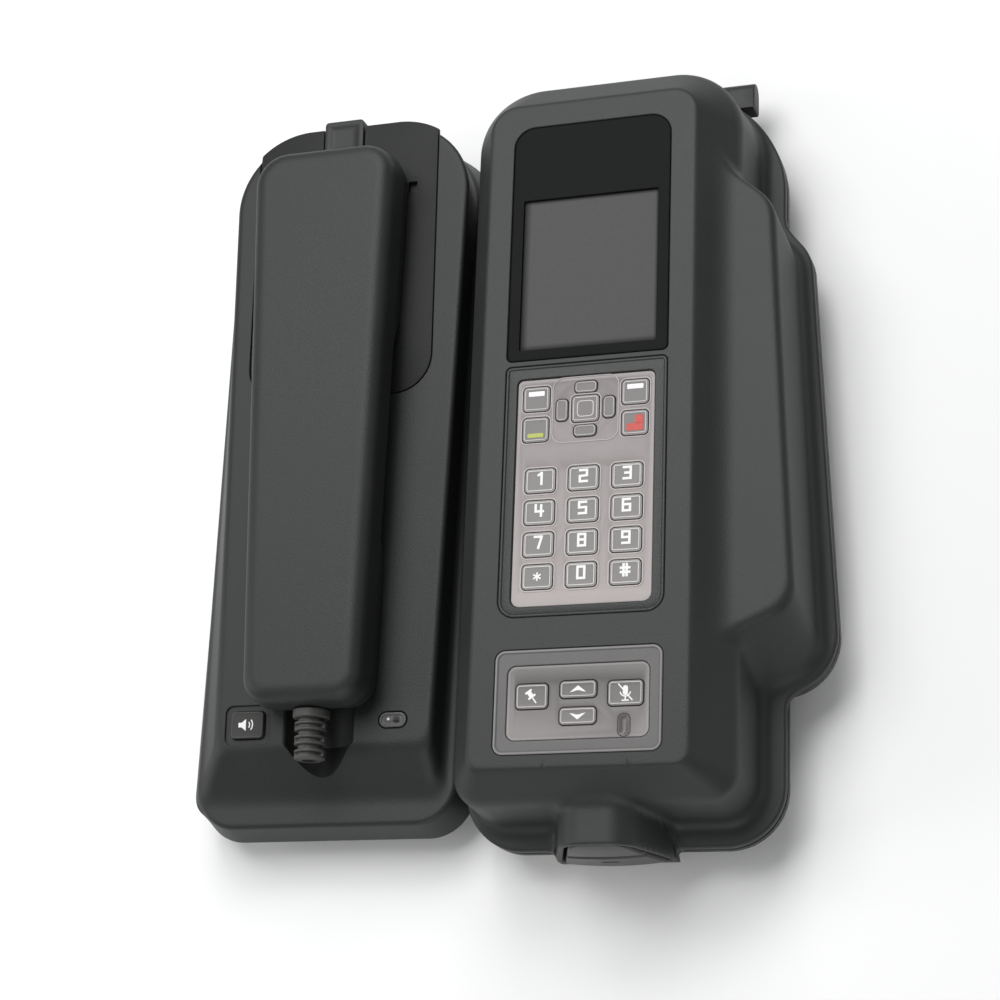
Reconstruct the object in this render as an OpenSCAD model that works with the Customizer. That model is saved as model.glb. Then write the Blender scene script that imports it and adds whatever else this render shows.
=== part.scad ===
// Satellite phone docking station: a sealed clamshell dock with a phone inside, and a handset cradle
// beside it. The two units lie on their backs: Z rises out of their fronts, Y points at their top ends.

/* [Dock] */
// Width of the flat front of the dock's lid
face_w = 74; // [72:1:76]
// Length of the flat front of the dock's lid
face_l = 238; // [236:1:242]
// Height of the lid's front above the mounting plane
face_z = 60; // [59:0.5:62]
// Thickness of the lid behind its front
lid_t = 4.5; // [4:0.5:5]
// Wall thickness of the mouldings
wall = 3; // [2.5:0.5:3.5]
// Height at which the lid's flange starts
split_z = 19; // [19:0.5:20]
// Thickness of the flange on the lid and on the base
flange_t = 3; // [2.5:0.5:3.5]
// Gap between the two flanges, filled by the seal
seal_gap = 1.2; // [1:0.1:1.5]

/* [Hinge and latch] */
// Radius of the hinge pin
pin_r = 2; // [1.5:0.1:2.2]
// Radius of a hinge knuckle
knuckle_r = 4.2; // [4:0.1:4.4]
// Travel of the latch button
latch_travel = 2.5; // [1:0.1:2.6]

/* [Keys] */
// Spacing of the number keys across the keypad
key_pitch_x = 15; // [14.5:0.1:15.5]
// Spacing of the rows of number keys
key_pitch_y = 11.15; // [11:0.05:11.5]
// Gap around every key
key_gap = 0.35; // [0.3:0.05:0.5]

/* [Handset and cradle] */
// Slope of the cradle's top, highest at the ear end
tilt = 2.5; // [2:0.1:3]
// Height of the cradle's top at mid length
deck_z = 39.5; // [39:0.5:41]
// Height of the handset above the cradle's top
handset_h = 20; // [19:0.5:22]
// Radius of the cord that the handset's boot takes
cord_r = 2.6; // [2:0.1:3]

/* [Mounting] */
// Hole spacing across each back
amps_x = 30; // [28:0.5:32]
// Hole spacing along each back
amps_y = 38; // [36:0.5:40]
// Radius of the mounting holes
amps_r = 2.15; // [2:0.05:2.3]

/* [Hidden] */
$fn = 48;
eps = 0.01;
dock_x = 36.55;
cradle_x = -63.15;
unit_y = 1.2;
// Heights in the dock
lid_in = face_z - lid_t;
lid_top = split_z + flange_t;
rim_top = split_z - seal_gap;
rim_low = rim_top - flange_t;
floor_t = 5;
// Edges of the dock's flange, about the middle of the window
fl_left = -49;
fl_right = 60.3;
fl_low = -138.5;
fl_high = 134.8;
// Hinge line
hinge_y = 137;
hinge_z = 15;
hinge_mid = (fl_left + fl_right) / 2;
knuckle_w = 14.8;
hinge_half = 42.2;
// Latch
boss_x = 3;
boss_end = -143.2;
// Openings in the lid's front: half width, low edge, high edge
pane_half = 28.3;
pane_low = 22;
pane_high = 110;
pad_low = -68.4;
pad_high = 20.2;
skin_half = 24;
skin_low = -64.8;
skin_high = 15.3;
ctl_low = -114.3;
ctl_high = -79.3;
seat_z = face_z - 3;
// Number keys
row_y = -21.2;
key_top = face_z - 0.3;
phone_z = 54.5;
phone_low = -75;
phone_high = 94;
phone_half = 37.5;
// Middle of the gap between the two units, and the plate that spans it
gap_mid = (dock_x + cradle_x) / 2;
plate_w = 46.8;
plate_l = 80;
plate_t = 2.1;
// Screws of the plate, in from the middle of each unit, and screws of the cradle's base
plate_screw_x = 33;
plate_screw_y = 30;
cradle_screw_x = 34;
cradle_screw_y = 88;
// Screw sizes
screw_r = 1.5;
head_r = 2.8;

NUMBERS = ["key_1", "key_2", "key_3", "key_4", "key_5", "key_6", "key_7", "key_8", "key_9",
    "key_star", "key_0", "key_hash"];
// Each remaining key of the upper keypad: name, x, y, width, length
SIDE_KEYS = [["key_soft_left", -17.2, 8.0, 9.2, 8.7], ["key_call", -17.2, -3.0, 9.0, 8.6],
    ["key_soft_right", 17.2, 8.0, 9.2, 8.7], ["key_end", 17.2, -3.0, 9.0, 8.6],
    ["key_ok", 0, 3.4, 9.4, 9.4], ["key_nav_up", 0, 11.2, 7.6, 4.0], ["key_nav_down", 0, -4.4, 7.6, 4.0],
    ["key_nav_left", -8.2, 3.4, 4.0, 7.6], ["key_nav_right", 8.2, 3.4, 4.0, 7.6]];
// Each key of the lower panel
PANEL_KEYS = [["panel_key_lock", -15.4, -95, 10.8, 8.2], ["panel_key_up", 0.2, -93.2, 12.2, 5.6],
    ["panel_key_mute", 16, -95, 11.6, 8.2], ["panel_key_down", 0.2, -102, 12.2, 5.6]];
SENSOR = [15.6, -105.4, 4.1, 7.6];

// ---- shared shapes ----

module at_dock() { translate([dock_x, unit_y, 0]) children(); }
module at_cradle() { translate([cradle_x, unit_y, 0]) children(); }
module on_deck() { at_cradle() translate([0, 0, deck_z]) rotate([tilt, 0, 0]) children(); }

// A flat outline with one radius at its low corners and another at its high corners
module plan(x0, x1, y0, y1, r_low, r_high) {
    polygon([[x0 + r_low, y0], [x1 - r_low, y0], [x1, y0 + r_low], [x1, y1 - r_high],
        [x1 - r_high, y1], [x0 + r_high, y1], [x0, y1 - r_high], [x0, y0 + r_low]]);
    for (x = [x0 + r_low, x1 - r_low]) translate([x, y0 + r_low]) circle(r_low);
    for (x = [x0 + r_high, x1 - r_high]) translate([x, y1 - r_high]) circle(r_high);
}

module slab(x0, x1, y0, y1, r_low, r_high, z0, h) {
    translate([0, 0, z0]) linear_extrude(h) plan(x0, x1, y0, y1, r_low, r_high);
}

// A block with rounded upright edges, centred on x and y
module pad(x, y, w, l, r, z0, z1) {
    slab(x - w / 2, x + w / 2, y - l / 2, y + l / 2, r, r, z0, z1 - z0);
}

// ---- dock ----

// Outline of the dock's flange, drawn in by inset
module dock_plan(inset) {
    plan(fl_left + inset, fl_right - inset, fl_low + inset, fl_high - inset, 20 - inset, 40 - inset);
    hull() {
        translate([52, 62]) circle(18 - inset);
        translate([57.6, -68]) circle(20 - inset);
        translate([20, -60]) square([10, 120]);
    }
}

// The raised body of the lid: a bevelled block, drawn in by inset and up to height top
module lid_body(inset, top, low) {
    drop = face_z - top;
    hull() {
        slab(-face_w / 2 + inset - drop * 0.7, face_w / 2 - inset + drop, -face_l / 2 + inset - drop * 0.7,
            face_l / 2 - inset + drop, 5, 9, top - 0.2, 0.2);
        slab(-45.5 + inset, 50.3 - inset, -128.2 + inset, 131.3 - inset, 10, 24, 48, 0.2);
        slab(-46.7 + inset, 52.3 - inset, -130.2 + inset, 132.5 - inset, 12, 26, low, 6);
    }
}

// The swelling on the lid's right-hand side
module bulge_body(inset, top, low) {
    hull() {
        translate([0, 0, top - 3]) linear_extrude(eps) bulge_plan(1.5 - inset);
        translate([0, 0, top - eps]) linear_extrude(eps) bulge_plan(-inset);
        translate([0, 0, low]) linear_extrude(4) {
            translate([52, 62]) circle(13.5 - inset);
            translate([57.6, -68]) circle(14.5 - inset);
            translate([20, -60]) square([10, 120]);
        }
    }
}

module bulge_plan(grow) {
    translate([49, 66]) circle(14 + grow);
    translate([42, 86]) circle(4 + grow);
    translate([63, -62]) circle(6 + grow);
    translate([42, -74]) circle(4 + grow);
    translate([20, -60]) square([10, 120]);
}

// The housing of the latch on the lid's low end
module latch_boss(inset, y0, y1) {
    translate([0, y1, 0]) rotate([90, 0, 0]) linear_extrude(y1 - y0) hull() {
        for (x = [boss_x - 4, boss_x + 4]) translate([x, 39]) circle(10 - inset);
        for (x = [boss_x - 17, boss_x + 17]) translate([x, 18]) circle(4 - inset);
    }
}

// The part of the housing's hollow that lies above the flanges
module latch_well(inset, y0, y1, low) {
    intersection() {
        latch_boss(inset, y0, y1);
        translate([-30, y0, low]) cube([66, y1 - y0, face_z]);
    }
}

// One barrel of the hinge with the arm that carries it
module knuckle(x0, w, arm_y, arm_low, arm_high, bore_r) {
    difference() {
        union() {
            translate([x0, hinge_y, hinge_z]) rotate([0, 90, 0]) cylinder(r = knuckle_r, h = w);
            translate([x0, arm_y, arm_low]) cube([w, hinge_y - arm_y, arm_high - arm_low]);
        }
        translate([x0 - 1, hinge_y, hinge_z]) rotate([0, 90, 0]) cylinder(r = bore_r, h = w + 2);
    }
}

module dock_base() color([0.13, 0.135, 0.135]) at_dock() difference() {
    union() {
        difference() {
            union() {
                linear_extrude(rim_low + eps) dock_plan(6.2);
                translate([0, 0, rim_low]) linear_extrude(flange_t) dock_plan(0);
            }
            translate([0, 0, floor_t]) linear_extrude(rim_top) dock_plan(9);
            // seal groove
            translate([0, 0, rim_top - 1]) linear_extrude(2) difference() {
                dock_plan(3);
                dock_plan(5.8);
            }
            // room for the lid's knuckles
            for (s = [-1, 1])
                translate([hinge_mid + s * (hinge_half - knuckle_w - 0.4 - 9.4) - 9.8, fl_high - 2.3, rim_low - 1])
                    cube([19.6, 5, 6]);
        }
        for (x = [hinge_mid - hinge_half, hinge_mid + hinge_half - knuckle_w])
            knuckle(x, knuckle_w, fl_high - 3, hinge_z - knuckle_r, rim_top - 0.6, pin_r + 0.02);
        // posts that carry the tray and the board
        for (x = [-32, 32]) for (y = [-60, 80]) translate([x, y, floor_t - eps]) cylinder(r = 4, h = 11 + eps);
        // bosses behind the mounting holes
        for (x = [-1, 1]) for (y = [-1, 1])
            translate([x * amps_x / 2, y * amps_y / 2, floor_t - 1]) cylinder(r = 5, h = 5);
    }
    for (x = [-1, 1]) for (y = [-1, 1]) translate([x * amps_x / 2, y * amps_y / 2, -1])
        cylinder(r = amps_r, h = 10);
    // pocket of the joining plate, and its screw holes
    translate([-60, -plate_l / 2 - 0.2, -1]) cube([34.2, plate_l + 0.4, plate_t + 1.1]);
    for (y = [-1, 1]) translate([-plate_screw_x, y * plate_screw_y, 1]) cylinder(r = screw_r, h = 5);
    // sockets in the low end wall
    for (x = [-24, -10]) translate([x, -116.8, 7.8]) rotate([90, 0, 0]) cylinder(r = 4.5, h = 20);
    translate([8, -116.8, 7.8]) rotate([90, 0, 0]) cylinder(r = 6, h = 20);
}

module dock_lid() color([0.16, 0.165, 0.165]) at_dock() difference() {
    union() {
        lid_body(0, face_z, split_z);
        bulge_body(0, face_z - 7.4, split_z);
        translate([0, 0, split_z]) linear_extrude(flange_t) dock_plan(0);
        latch_boss(0, boss_end, -124);
        for (x = [hinge_mid - hinge_half + knuckle_w + 0.4, hinge_mid + hinge_half - knuckle_w - 0.4 - 18.8])
            knuckle(x, 18.8, fl_high - 2, hinge_z + 2.6, lid_top, pin_r + 0.06);
    }
    lid_body(wall, lid_in, split_z - 1);
    bulge_body(wall, face_z - 7.4 - wall, split_z - 1);
    // space under the boss for the base's rim
    translate([-30, -139, 0]) cube([66, 20, split_z]);
    // display pane: seat and light opening
    slab(-pane_half, pane_half, pane_low, pane_high, 2, 7, face_z - 1.8, 5);
    slab(-26, 26, pane_low + 2.5, pane_high - 22, 1, 2, lid_in - 1, 10);
    // keypad: seat of the frame and opening
    slab(-pane_half, pane_half, pad_low, pad_high, 6, 2, seat_z, 10);
    slab(-skin_half, skin_half, skin_low, skin_high, 3, 2, lid_in - 1, 10);
    // lower panel: seat of the frame and opening
    slab(-pane_half, pane_half, ctl_low, ctl_high, 3.5, 3.5, seat_z, 10);
    slab(-skin_half, skin_half, ctl_low + 4.7, ctl_high - 5.3, 3, 3, lid_in - 1, 10);
    // pocket of the latch button
    latch_well(2.6, boss_end - 1, -131.2, split_z + 1);
    translate([boss_x, -120, 30]) rotate([90, 0, 0]) cylinder(r = 1.8, h = 15);
}

module lid_gasket() color([0.06, 0.06, 0.06]) at_dock() translate([0, 0, rim_top - 1]) linear_extrude(1.9)
    difference() {
        dock_plan(3.2);
        dock_plan(5.6);
    }

module hinge_pin() color("silver") at_dock() translate([hinge_mid - hinge_half, hinge_y, hinge_z])
    rotate([0, 90, 0]) cylinder(r = pin_r, h = 2 * hinge_half);

module latch_button() color([0.12, 0.12, 0.12]) at_dock() difference() {
    union() {
        latch_well(3, boss_end - 0.4, -134, split_z + 1.4);
        // guide stem that carries the spring
        translate([boss_x, -135, 30]) rotate([-90, 0, 0]) cylinder(r = 1.5, h = 3.2);
    }
    // finger rest in the button's face
    translate([boss_x, boss_end - 14.2, 26]) rotate([0, 90, 0]) cylinder(r = 15, h = 22, center = true);
    // spring seat around the stem
    translate([boss_x, -139, 30]) rotate([-90, 0, 0]) difference() {
        cylinder(r = 4, h = 6);
        translate([0, 0, -1]) cylinder(r = 1.5, h = 8);
    }
}

// Points of a circle of radius r in the plane across a coil of radius R at turn t
function coil_ring(t, turns, R, r, len, sides) = [for (i = [0:sides - 1])
    let (a = 360 * i / sides, u = R + r * cos(a), w = 360 * turns * t)
    [u * cos(w), u * sin(w), len * t + r * sin(a)]];

// A round wire coiled about Z
module coil(turns, R, r, len, sides, steps) {
    rings = [for (s = [0:steps]) each coil_ring(s / steps, turns, R, r, len, sides)];
    skin = [for (s = [0:steps - 1]) for (i = [0:sides - 1]) let (j = (i + 1) % sides, a = s * sides)
        [a + i, a + sides + i, a + sides + j, a + j]];
    ends = [[for (i = [0:sides - 1]) i], [for (i = [sides - 1:-1:0]) steps * sides + i]];
    polyhedron(points = rings, faces = concat(skin, ends), convexity = 6);
}

module latch_spring() color("silver") at_dock() translate([boss_x, -138.5, 30]) rotate([-90, 0, 0])
    coil(4, 2.7, 0.4, 6.6, 6, 64);

module display_window() color([0.05, 0.055, 0.06]) at_dock()
    slab(-pane_half + 0.1, pane_half - 0.1, pane_low + 0.1, pane_high - 0.1, 2, 7, face_z - 1.8, 1.6);

module keypad_frame() color([0.1, 0.1, 0.1]) at_dock() difference() {
    slab(-pane_half + 0.1, pane_half - 0.1, pad_low + 0.1, pad_high - 0.1, 6, 2, seat_z + 0.8, 2);
    slab(-skin_half, skin_half, skin_low, skin_high, 3, 2, seat_z, 4);
}

module key_holes(keys) {
    for (k = keys) pad(k[1], k[2], k[3] + 2 * key_gap, k[4] + 2 * key_gap, 1.5, seat_z - 3, face_z + 2);
}

module number_holes() {
    for (n = [0:11]) pad(key_pitch_x * (n % 3 - 1), row_y - key_pitch_y * floor(n / 3),
        10.4 + 2 * key_gap, 8.4 + 2 * key_gap, 1.5, seat_z - 3, face_z + 2);
}

module keypad_membrane() color([0.75, 0.74, 0.73, 0.4]) at_dock() difference() {
    union() {
        slab(-pane_half + 0.3, pane_half - 0.3, pad_low + 0.3, pad_high - 0.3, 5.7, 1.7, seat_z, 0.8);
        slab(-skin_half + 0.1, skin_half - 0.1, skin_low + 0.1, skin_high - 0.1, 3, 2, seat_z + 0.4, 1.8);
    }
    key_holes(SIDE_KEYS);
    number_holes();
}

module control_frame() color([0.07, 0.07, 0.07]) at_dock() difference() {
    slab(-pane_half + 0.1, pane_half - 0.1, ctl_low + 0.1, ctl_high - 0.1, 3.5, 3.5, seat_z + 0.8, 2.4);
    slab(-skin_half, skin_half, ctl_low + 4.7, ctl_high - 5.3, 3, 3, seat_z, 4);
}

module control_membrane() color([0.35, 0.35, 0.35]) at_dock() difference() {
    union() {
        slab(-pane_half + 0.3, pane_half - 0.3, ctl_low + 0.3, ctl_high - 0.3, 3.3, 3.3, seat_z, 0.8);
        slab(-skin_half + 0.1, skin_half - 0.1, ctl_low + 4.8, ctl_high - 5.4, 3, 3, seat_z + 0.4, 2);
    }
    key_holes(PANEL_KEYS);
    pad(SENSOR[0], SENSOR[1], SENSOR[2], SENSOR[3], 1.9, seat_z - 1, face_z + 1);
}

module sensor_lens() color([0.2, 0.2, 0.21]) at_dock()
    pad(SENSOR[0], SENSOR[1], SENSOR[2] - 0.1, SENSOR[3] - 0.1, 1.8, seat_z, face_z - 0.4);

module number_key(n) color([0.8, 0.79, 0.78, 0.5]) at_dock()
    pad(key_pitch_x * (n % 3 - 1), row_y - key_pitch_y * floor(n / 3), 10.4, 8.4, 1.3, seat_z, key_top);

module side_key(k) color([0.8, 0.79, 0.78, 0.5]) at_dock() pad(k[1], k[2], k[3], k[4], 1.3, seat_z, key_top);

module panel_key(k) color([0.3, 0.3, 0.3]) at_dock() pad(k[1], k[2], k[3], k[4], 1.3, seat_z, key_top + 0.2);

module phone_tray() color([0.1, 0.1, 0.1]) at_dock() difference() {
    slab(-39.6, 39.6, -79, 98, 3, 3, floor_t + 11, 12);
    slab(-phone_half - 0.5, phone_half + 0.5, phone_low - 0.5, phone_high + 0.5, 6, 6, floor_t + 19, 20);
    slab(-30, 30, -60, 78, 4, 4, floor_t, 30);
    // way in for the connector and for the antenna
    translate([-13, -90, floor_t + 10]) cube([26, 20, 30]);
    translate([30, 40, floor_t + 13]) cube([20, 40, 30]);
}

module dock_connector() color([0.15, 0.15, 0.16]) at_dock() {
    translate([-12, -90, floor_t]) cube([24, 14, 37]);
    translate([-8, -76.01, 34]) cube([16, 1.01, 4]);
}

module main_board() color([0.05, 0.3, 0.15]) at_dock() {
    difference() {
        slab(-36, 36, -112, -48, 2, 2, floor_t + 1, 1.6);
        for (x = [-32, 32]) translate([x, -60, 0]) cylinder(r = 4.3, h = 20);
        translate([-12.2, -90.2, 0]) cube([24.4, 14.4, 20]);
    }
    for (x = [-28, -20, -12]) pad(x, -68, 6, 8, 0.5, floor_t + 2.59, floor_t + 5);
    pad(8, -62, 16, 16, 0.8, floor_t + 2.59, floor_t + 4.4);
    // supports between the board and the floor
    for (x = [-30, 30]) for (y = [-108, -52]) translate([x * 0.9, y, floor_t]) cylinder(r = 2, h = 1.01);
}

module speaker() color([0.2, 0.2, 0.2]) at_dock() translate([54, -45, floor_t]) {
    cylinder(r = 10.5, h = 3);
    translate([0, 0, 2.99]) cylinder(r1 = 10, r2 = 7, h = 4);
}

module io_sockets() color("goldenrod") at_dock() {
    for (x = [-24, -10]) translate([x, -117, 7.8]) rotate([90, 0, 0]) difference() {
        cylinder(r = 4.4, h = 15);
        translate([0, 0, 6]) cylinder(r = 3.2, h = 12);
    }
    translate([8, -117, 7.8]) rotate([90, 0, 0]) difference() {
        cylinder(r = 5.9, h = 15);
        translate([0, 0, 7]) cylinder(r = 4.6, h = 12);
    }
}

// ---- phone inside the dock ----

module phone_back() color([0.1, 0.1, 0.11]) at_dock() difference() {
    slab(-phone_half, phone_half, phone_low, phone_high, 6, 8, floor_t + 19.1, 17);
    translate([0, 0, floor_t + 22]) linear_extrude(30)
        plan(-phone_half + 2, phone_half - 2, phone_low + 2, phone_high - 2, 5, 7);
}

module phone_front() color([0.12, 0.12, 0.13]) at_dock() difference() {
    hull() {
        slab(-phone_half, phone_half, phone_low, phone_high, 6, 8, floor_t + 36.1, 8);
        slab(-34, 34, phone_low + 3, phone_high - 3, 5, 7, phone_z - 1, 1);
    }
    translate([0, 0, floor_t + 30]) linear_extrude(16)
        plan(-phone_half + 2, phone_half - 2, phone_low + 2, phone_high - 2, 5, 7);
    slab(-24.5, 24.5, 25, 83, 1, 1, phone_z - 2, 10);
    slab(-26, 26, -63, 17.5, 3, 3, phone_z - 1.6, 10);
}

module phone_display() color([0.42, 0.42, 0.42]) at_dock() slab(-24.4, 24.4, 25.1, 82.9, 1, 1, phone_z - 2, 2);

module phone_keymat() color([0.2, 0.2, 0.2]) at_dock() {
    slab(-25.9, 25.9, -62.9, 17.4, 3, 3, phone_z - 1.6, 1.2);
    for (n = [0:11]) pad(key_pitch_x * (n % 3 - 1), row_y - key_pitch_y * floor(n / 3), 9.8, 7.8, 1,
        phone_z - 0.41, phone_z + 0.8);
    for (k = SIDE_KEYS) pad(k[1], k[2], k[3] - 0.8, k[4] - 0.8, 0.8, phone_z - 0.41, phone_z + 0.8);
}

module phone_antenna() color([0.1, 0.1, 0.1]) at_dock() {
    translate([phone_half + 0.01, 60, 40]) rotate([0, 90, 0]) cylinder(r = 7, h = 3);
    slab(phone_half + 3, phone_half + 10, -40, 68, 3, 3, 35, 10);
}

// ---- cradle ----

module cradle_shape(inset, deck, low) {
    hull() {
        translate([0, 0, deck_z]) rotate([tilt, 0, 0]) translate([0, 0, deck - eps]) linear_extrude(eps) {
            for (x = [-13, 21]) translate([x, 98]) circle(28 - inset);
            translate([-36.3, -102.4]) circle(2);
            translate([39 - inset, -102.4 + inset]) circle(2);
        }
        translate([0, 0, low]) linear_extrude(24 - low) {
            for (x = [-18.5, 16.5]) translate([x, 98]) circle(29.5 - inset);
            translate([-46 + inset, -116 + inset]) circle(2);
            translate([40 - inset, -116 + inset]) circle(2);
        }
    }
}

module cradle_skirt(inset) {
    hull() {
        slab(-48.5 + inset, 46.5 - inset, -128.7 + inset, 128 - inset, 14, 28, 24 - eps, eps);
        slab(-51 + inset, 50.2 - inset, -131.5 + inset, 129.5 - inset, 16, 30, 12, 2);
    }
}

// The hollow around the handset's boot: a round trough that narrows to the low end
module boot_trough() {
    hull() {
        translate([0, -84, 1.5]) rotate([90, 0, 0]) cylinder(r = 12.5, h = 18, $fn = 32);
        translate([0, -114, -1]) sphere(r = 5, $fn = 24);
    }
}

module cradle_base() color([0.1, 0.1, 0.1]) at_cradle() difference() {
    union() {
        difference() {
            slab(-46.8, 45.8, -127.2, 125.3, 14, 28, 0, 12);
            slab(-43.8, 42.8, -124.2, 122.3, 11, 25, floor_t, 20);
        }
        for (x = [-1, 1]) for (y = [-1, 1]) {
            translate([x * amps_x / 2, y * amps_y / 2, floor_t - 1]) cylinder(r = 5, h = 5);
            translate([x * cradle_screw_x, y * cradle_screw_y, floor_t - 1]) cylinder(r = 4, h = 8);
        }
    }
    for (x = [-1, 1]) for (y = [-1, 1]) {
        translate([x * amps_x / 2, y * amps_y / 2, -1]) cylinder(r = amps_r, h = 12);
        translate([x * cradle_screw_x, y * cradle_screw_y, -1]) cylinder(r = screw_r, h = 14);
        translate([x * cradle_screw_x, y * cradle_screw_y, -1]) cylinder(r = head_r + 0.1, h = 3);
    }
    // pocket of the joining plate, and its screw holes
    translate([26, -plate_l / 2 - 0.2, -1]) cube([34.2, plate_l + 0.4, plate_t + 1.1]);
    for (y = [-1, 1]) translate([plate_screw_x, y * plate_screw_y, 1]) cylinder(r = screw_r, h = 5);
}

module cradle_top() color([0.15, 0.155, 0.155]) difference() {
    union() {
        at_cradle() difference() {
            union() {
                cradle_skirt(0);
                cradle_shape(0, 0, 18);
            }
            cradle_shape(wall, -wall, 11);
        }
        // walls of the trough and of the microphone well
        on_deck() {
            translate([-15.5, -104, -13.5]) cube([31, 24, 11]);
            translate([-9, -112, -13.5]) cube([18, 8.1, 6.5]);
            translate([-20, -88, -7.5]) cube([40, 36, 5]);
            // guide that the catch slides on
            translate([-11, 110, -7.5]) cube([22, 13, 5]);
        }
        // posts that take the base's screws
        at_cradle() for (x = [-1, 1]) for (y = [-1, 1])
            translate([x * cradle_screw_x, y * cradle_screw_y, 12])
                cylinder(r = 4, h = deck_z - 13.5 + y * cradle_screw_y * sin(tilt));
    }
    on_deck() {
        boot_trough();
        pad(0, -70, 35, 29, 4, -5, 1);
        // ear well and seat of the insert
        translate([0, 78, -20]) cylinder(r = 22, h = 20);
        slab(-33.2, 37.1, 22.2, 140, 14, 1, -2.2, 10);
        slab(-8, 8, 112.5, 140, 1, 1, -4.3, 6);
        // speaker key: shallow surround and hole
        pad(-26.4, -95, 17, 13.8, 2.5, -0.8, 2);
        pad(-26.4, -95, 12.7, 10, 2, -9, 1);
        // status light
        pad(27.2, -95, 10, 5.4, 2.6, -9, 1);
    }
    at_cradle() for (x = [-1, 1]) for (y = [-1, 1])
        translate([x * cradle_screw_x, y * cradle_screw_y, 11]) cylinder(r = screw_r, h = 9);
}

module cradle_insert() color([0.09, 0.09, 0.09]) on_deck() difference() {
    union() {
        translate([0, 0, -2.2]) linear_extrude(2.1) intersection() {
            plan(-33, 36.9, 22.4, 130, 14, 1);
            hull() {
                for (x = [-13, 21]) translate([x, 98]) circle(29.6);
                translate([-41, 0]) square([90, 60]);
            }
        }
        translate([0, 78, -8]) cylinder(r = 21.6, h = 7);
    }
    translate([0, 78, -6]) cylinder(r = 19.2, h = 8);
    slab(-8.2, 8.2, 112.6, 140, 1, 1, -5, 6);
    pad(27.6, 100.8, 3.4, 4.2, 0.5, -5, 1);
}

module cradle_catch() color([0.08, 0.08, 0.08]) on_deck() {
    slab(-7.6, 7.6, 115.8, 130, 1, 1.5, -4, 4.6);
    slab(-5, 5, 112.95, 116, 0.8, 0.8, -4, 9);
}

module cradle_led() color([0.25, 0.26, 0.26]) on_deck() pad(27.2, -95, 9.8, 5.2, 2.5, -4, 0.3);

module speaker_key() color([0.3, 0.3, 0.3]) on_deck() pad(-26.4, -95, 12, 9.3, 1.8, -4, 0.9);

// ---- handset ----

// Outline of the handset, wider at its ear end, drawn in by inset
module handset_plan(inset) {
    translate([0, 0.3]) for (s = [-1, 1]) {
        translate([s * 14.5, 99]) circle(12.5 - inset);
        translate([s * 12.5, -82]) circle(9.5 - inset);
    }
}

module handset_block(inset, z0, z1) {
    hull() {
        translate([0, 0, z1 - eps]) linear_extrude(eps) handset_plan(inset + 2.2);
        translate([0, 0, z1 - 2.4]) linear_extrude(eps) handset_plan(inset + 0.4);
        translate([0, 0, z0]) linear_extrude(eps) handset_plan(inset - 0.6);
    }
}

module handset_back() color([0.14, 0.145, 0.145]) on_deck() difference() {
    handset_block(0, 9, handset_h);
    handset_block(2.4, 8, handset_h - 2.4);
    translate([0, -86, 6.4]) rotate([90, 0, 0]) cylinder(r = 4.1, h = 10);
}

module handset_front() color([0.11, 0.11, 0.11]) on_deck() difference() {
    hull() {
        translate([0, 0, 0.6]) linear_extrude(eps) handset_plan(0.6);
        translate([0, 0, 9 - eps]) linear_extrude(eps) handset_plan(-0.6);
    }
    // hollow of the grip, between the ear end and the mouth end
    rotate([90, 0, 90]) linear_extrude(80, center = true) polygon([[-38, -1], [-34, 7], [38, 7], [48, -1]]);
    // room inside the two ends
    slab(-20, 20, 54, 105, 6, 8, 3, 10);
    slab(-16, 16, -84, -46, 5, 5, 3, 10);
    translate([0, 78, -1]) cylinder(r = 16, h = 5);
    translate([0, -70, -1]) cylinder(r = 9, h = 5);
    translate([0, -86, 6.4]) rotate([90, 0, 0]) cylinder(r = 4.1, h = 10);
}

module handset_earpiece() color([0.07, 0.07, 0.07]) on_deck() difference() {
    translate([0, 78, -4.6]) cylinder(r1 = 14, r2 = 15.9, h = 8.5);
    for (a = [0:45:315]) sound_hole(a, 6);
    translate([0, 78, -5]) cylinder(r = 1, h = 3);
}

// One sound hole of the earpiece, at angle a and radius r from its middle
module sound_hole(a, r) {
    translate([r * cos(a), 78 + r * sin(a), -5]) cylinder(r = 1, h = 3);
}

module handset_microphone() color([0.07, 0.07, 0.07]) on_deck() difference() {
    translate([0, -70, -2.6]) cylinder(r1 = 8, r2 = 8.9, h = 6.5);
    for (x = [-3, 0, 3]) translate([x, -70, -3]) cylinder(r = 0.8, h = 3);
}

module handset_boot() color([0.08, 0.08, 0.08]) on_deck() translate([0, -86.2, 6.4]) rotate([90, 0, 0])
    difference() {
        union() {
            cylinder(r = 4, h = 6);
            translate([0, 0, 5.7]) cylinder(r = 6.4, h = 3.1);
            translate([0, 0, 8.7]) cylinder(r = 4.2, h = 14.6);
            for (i = [0:2]) translate([0, 0, 10 + 4.8 * i]) cylinder(r = 5.6 - 0.1 * i, h = 3.4);
        }
        translate([0, 0, -1]) cylinder(r = cord_r, h = 30);
    }

// ---- plate and screws on the back ----

module at_plate_screws() {
    for (x = [dock_x - plate_screw_x, cradle_x + plate_screw_x]) for (y = [-1, 1])
        translate([x, unit_y + y * plate_screw_y, 0]) children();
}

module joining_plate() color("silver") difference() {
    translate([gap_mid - plate_w / 2, unit_y - plate_l / 2, 0]) cube([plate_w, plate_l, plate_t]);
    at_plate_screws() translate([0, 0, -1]) {
        cylinder(r = head_r + 0.1, h = 2.1);
        cylinder(r = screw_r + 0.1, h = 4);
    }
}

// A countersunk screw that starts just inside the face it is driven into
module back_screw(head_h, len) {
    translate([0, 0, 0.2]) {
        cylinder(r = head_r, h = head_h);
        cylinder(r = screw_r - 0.03, h = len);
    }
}

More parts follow.
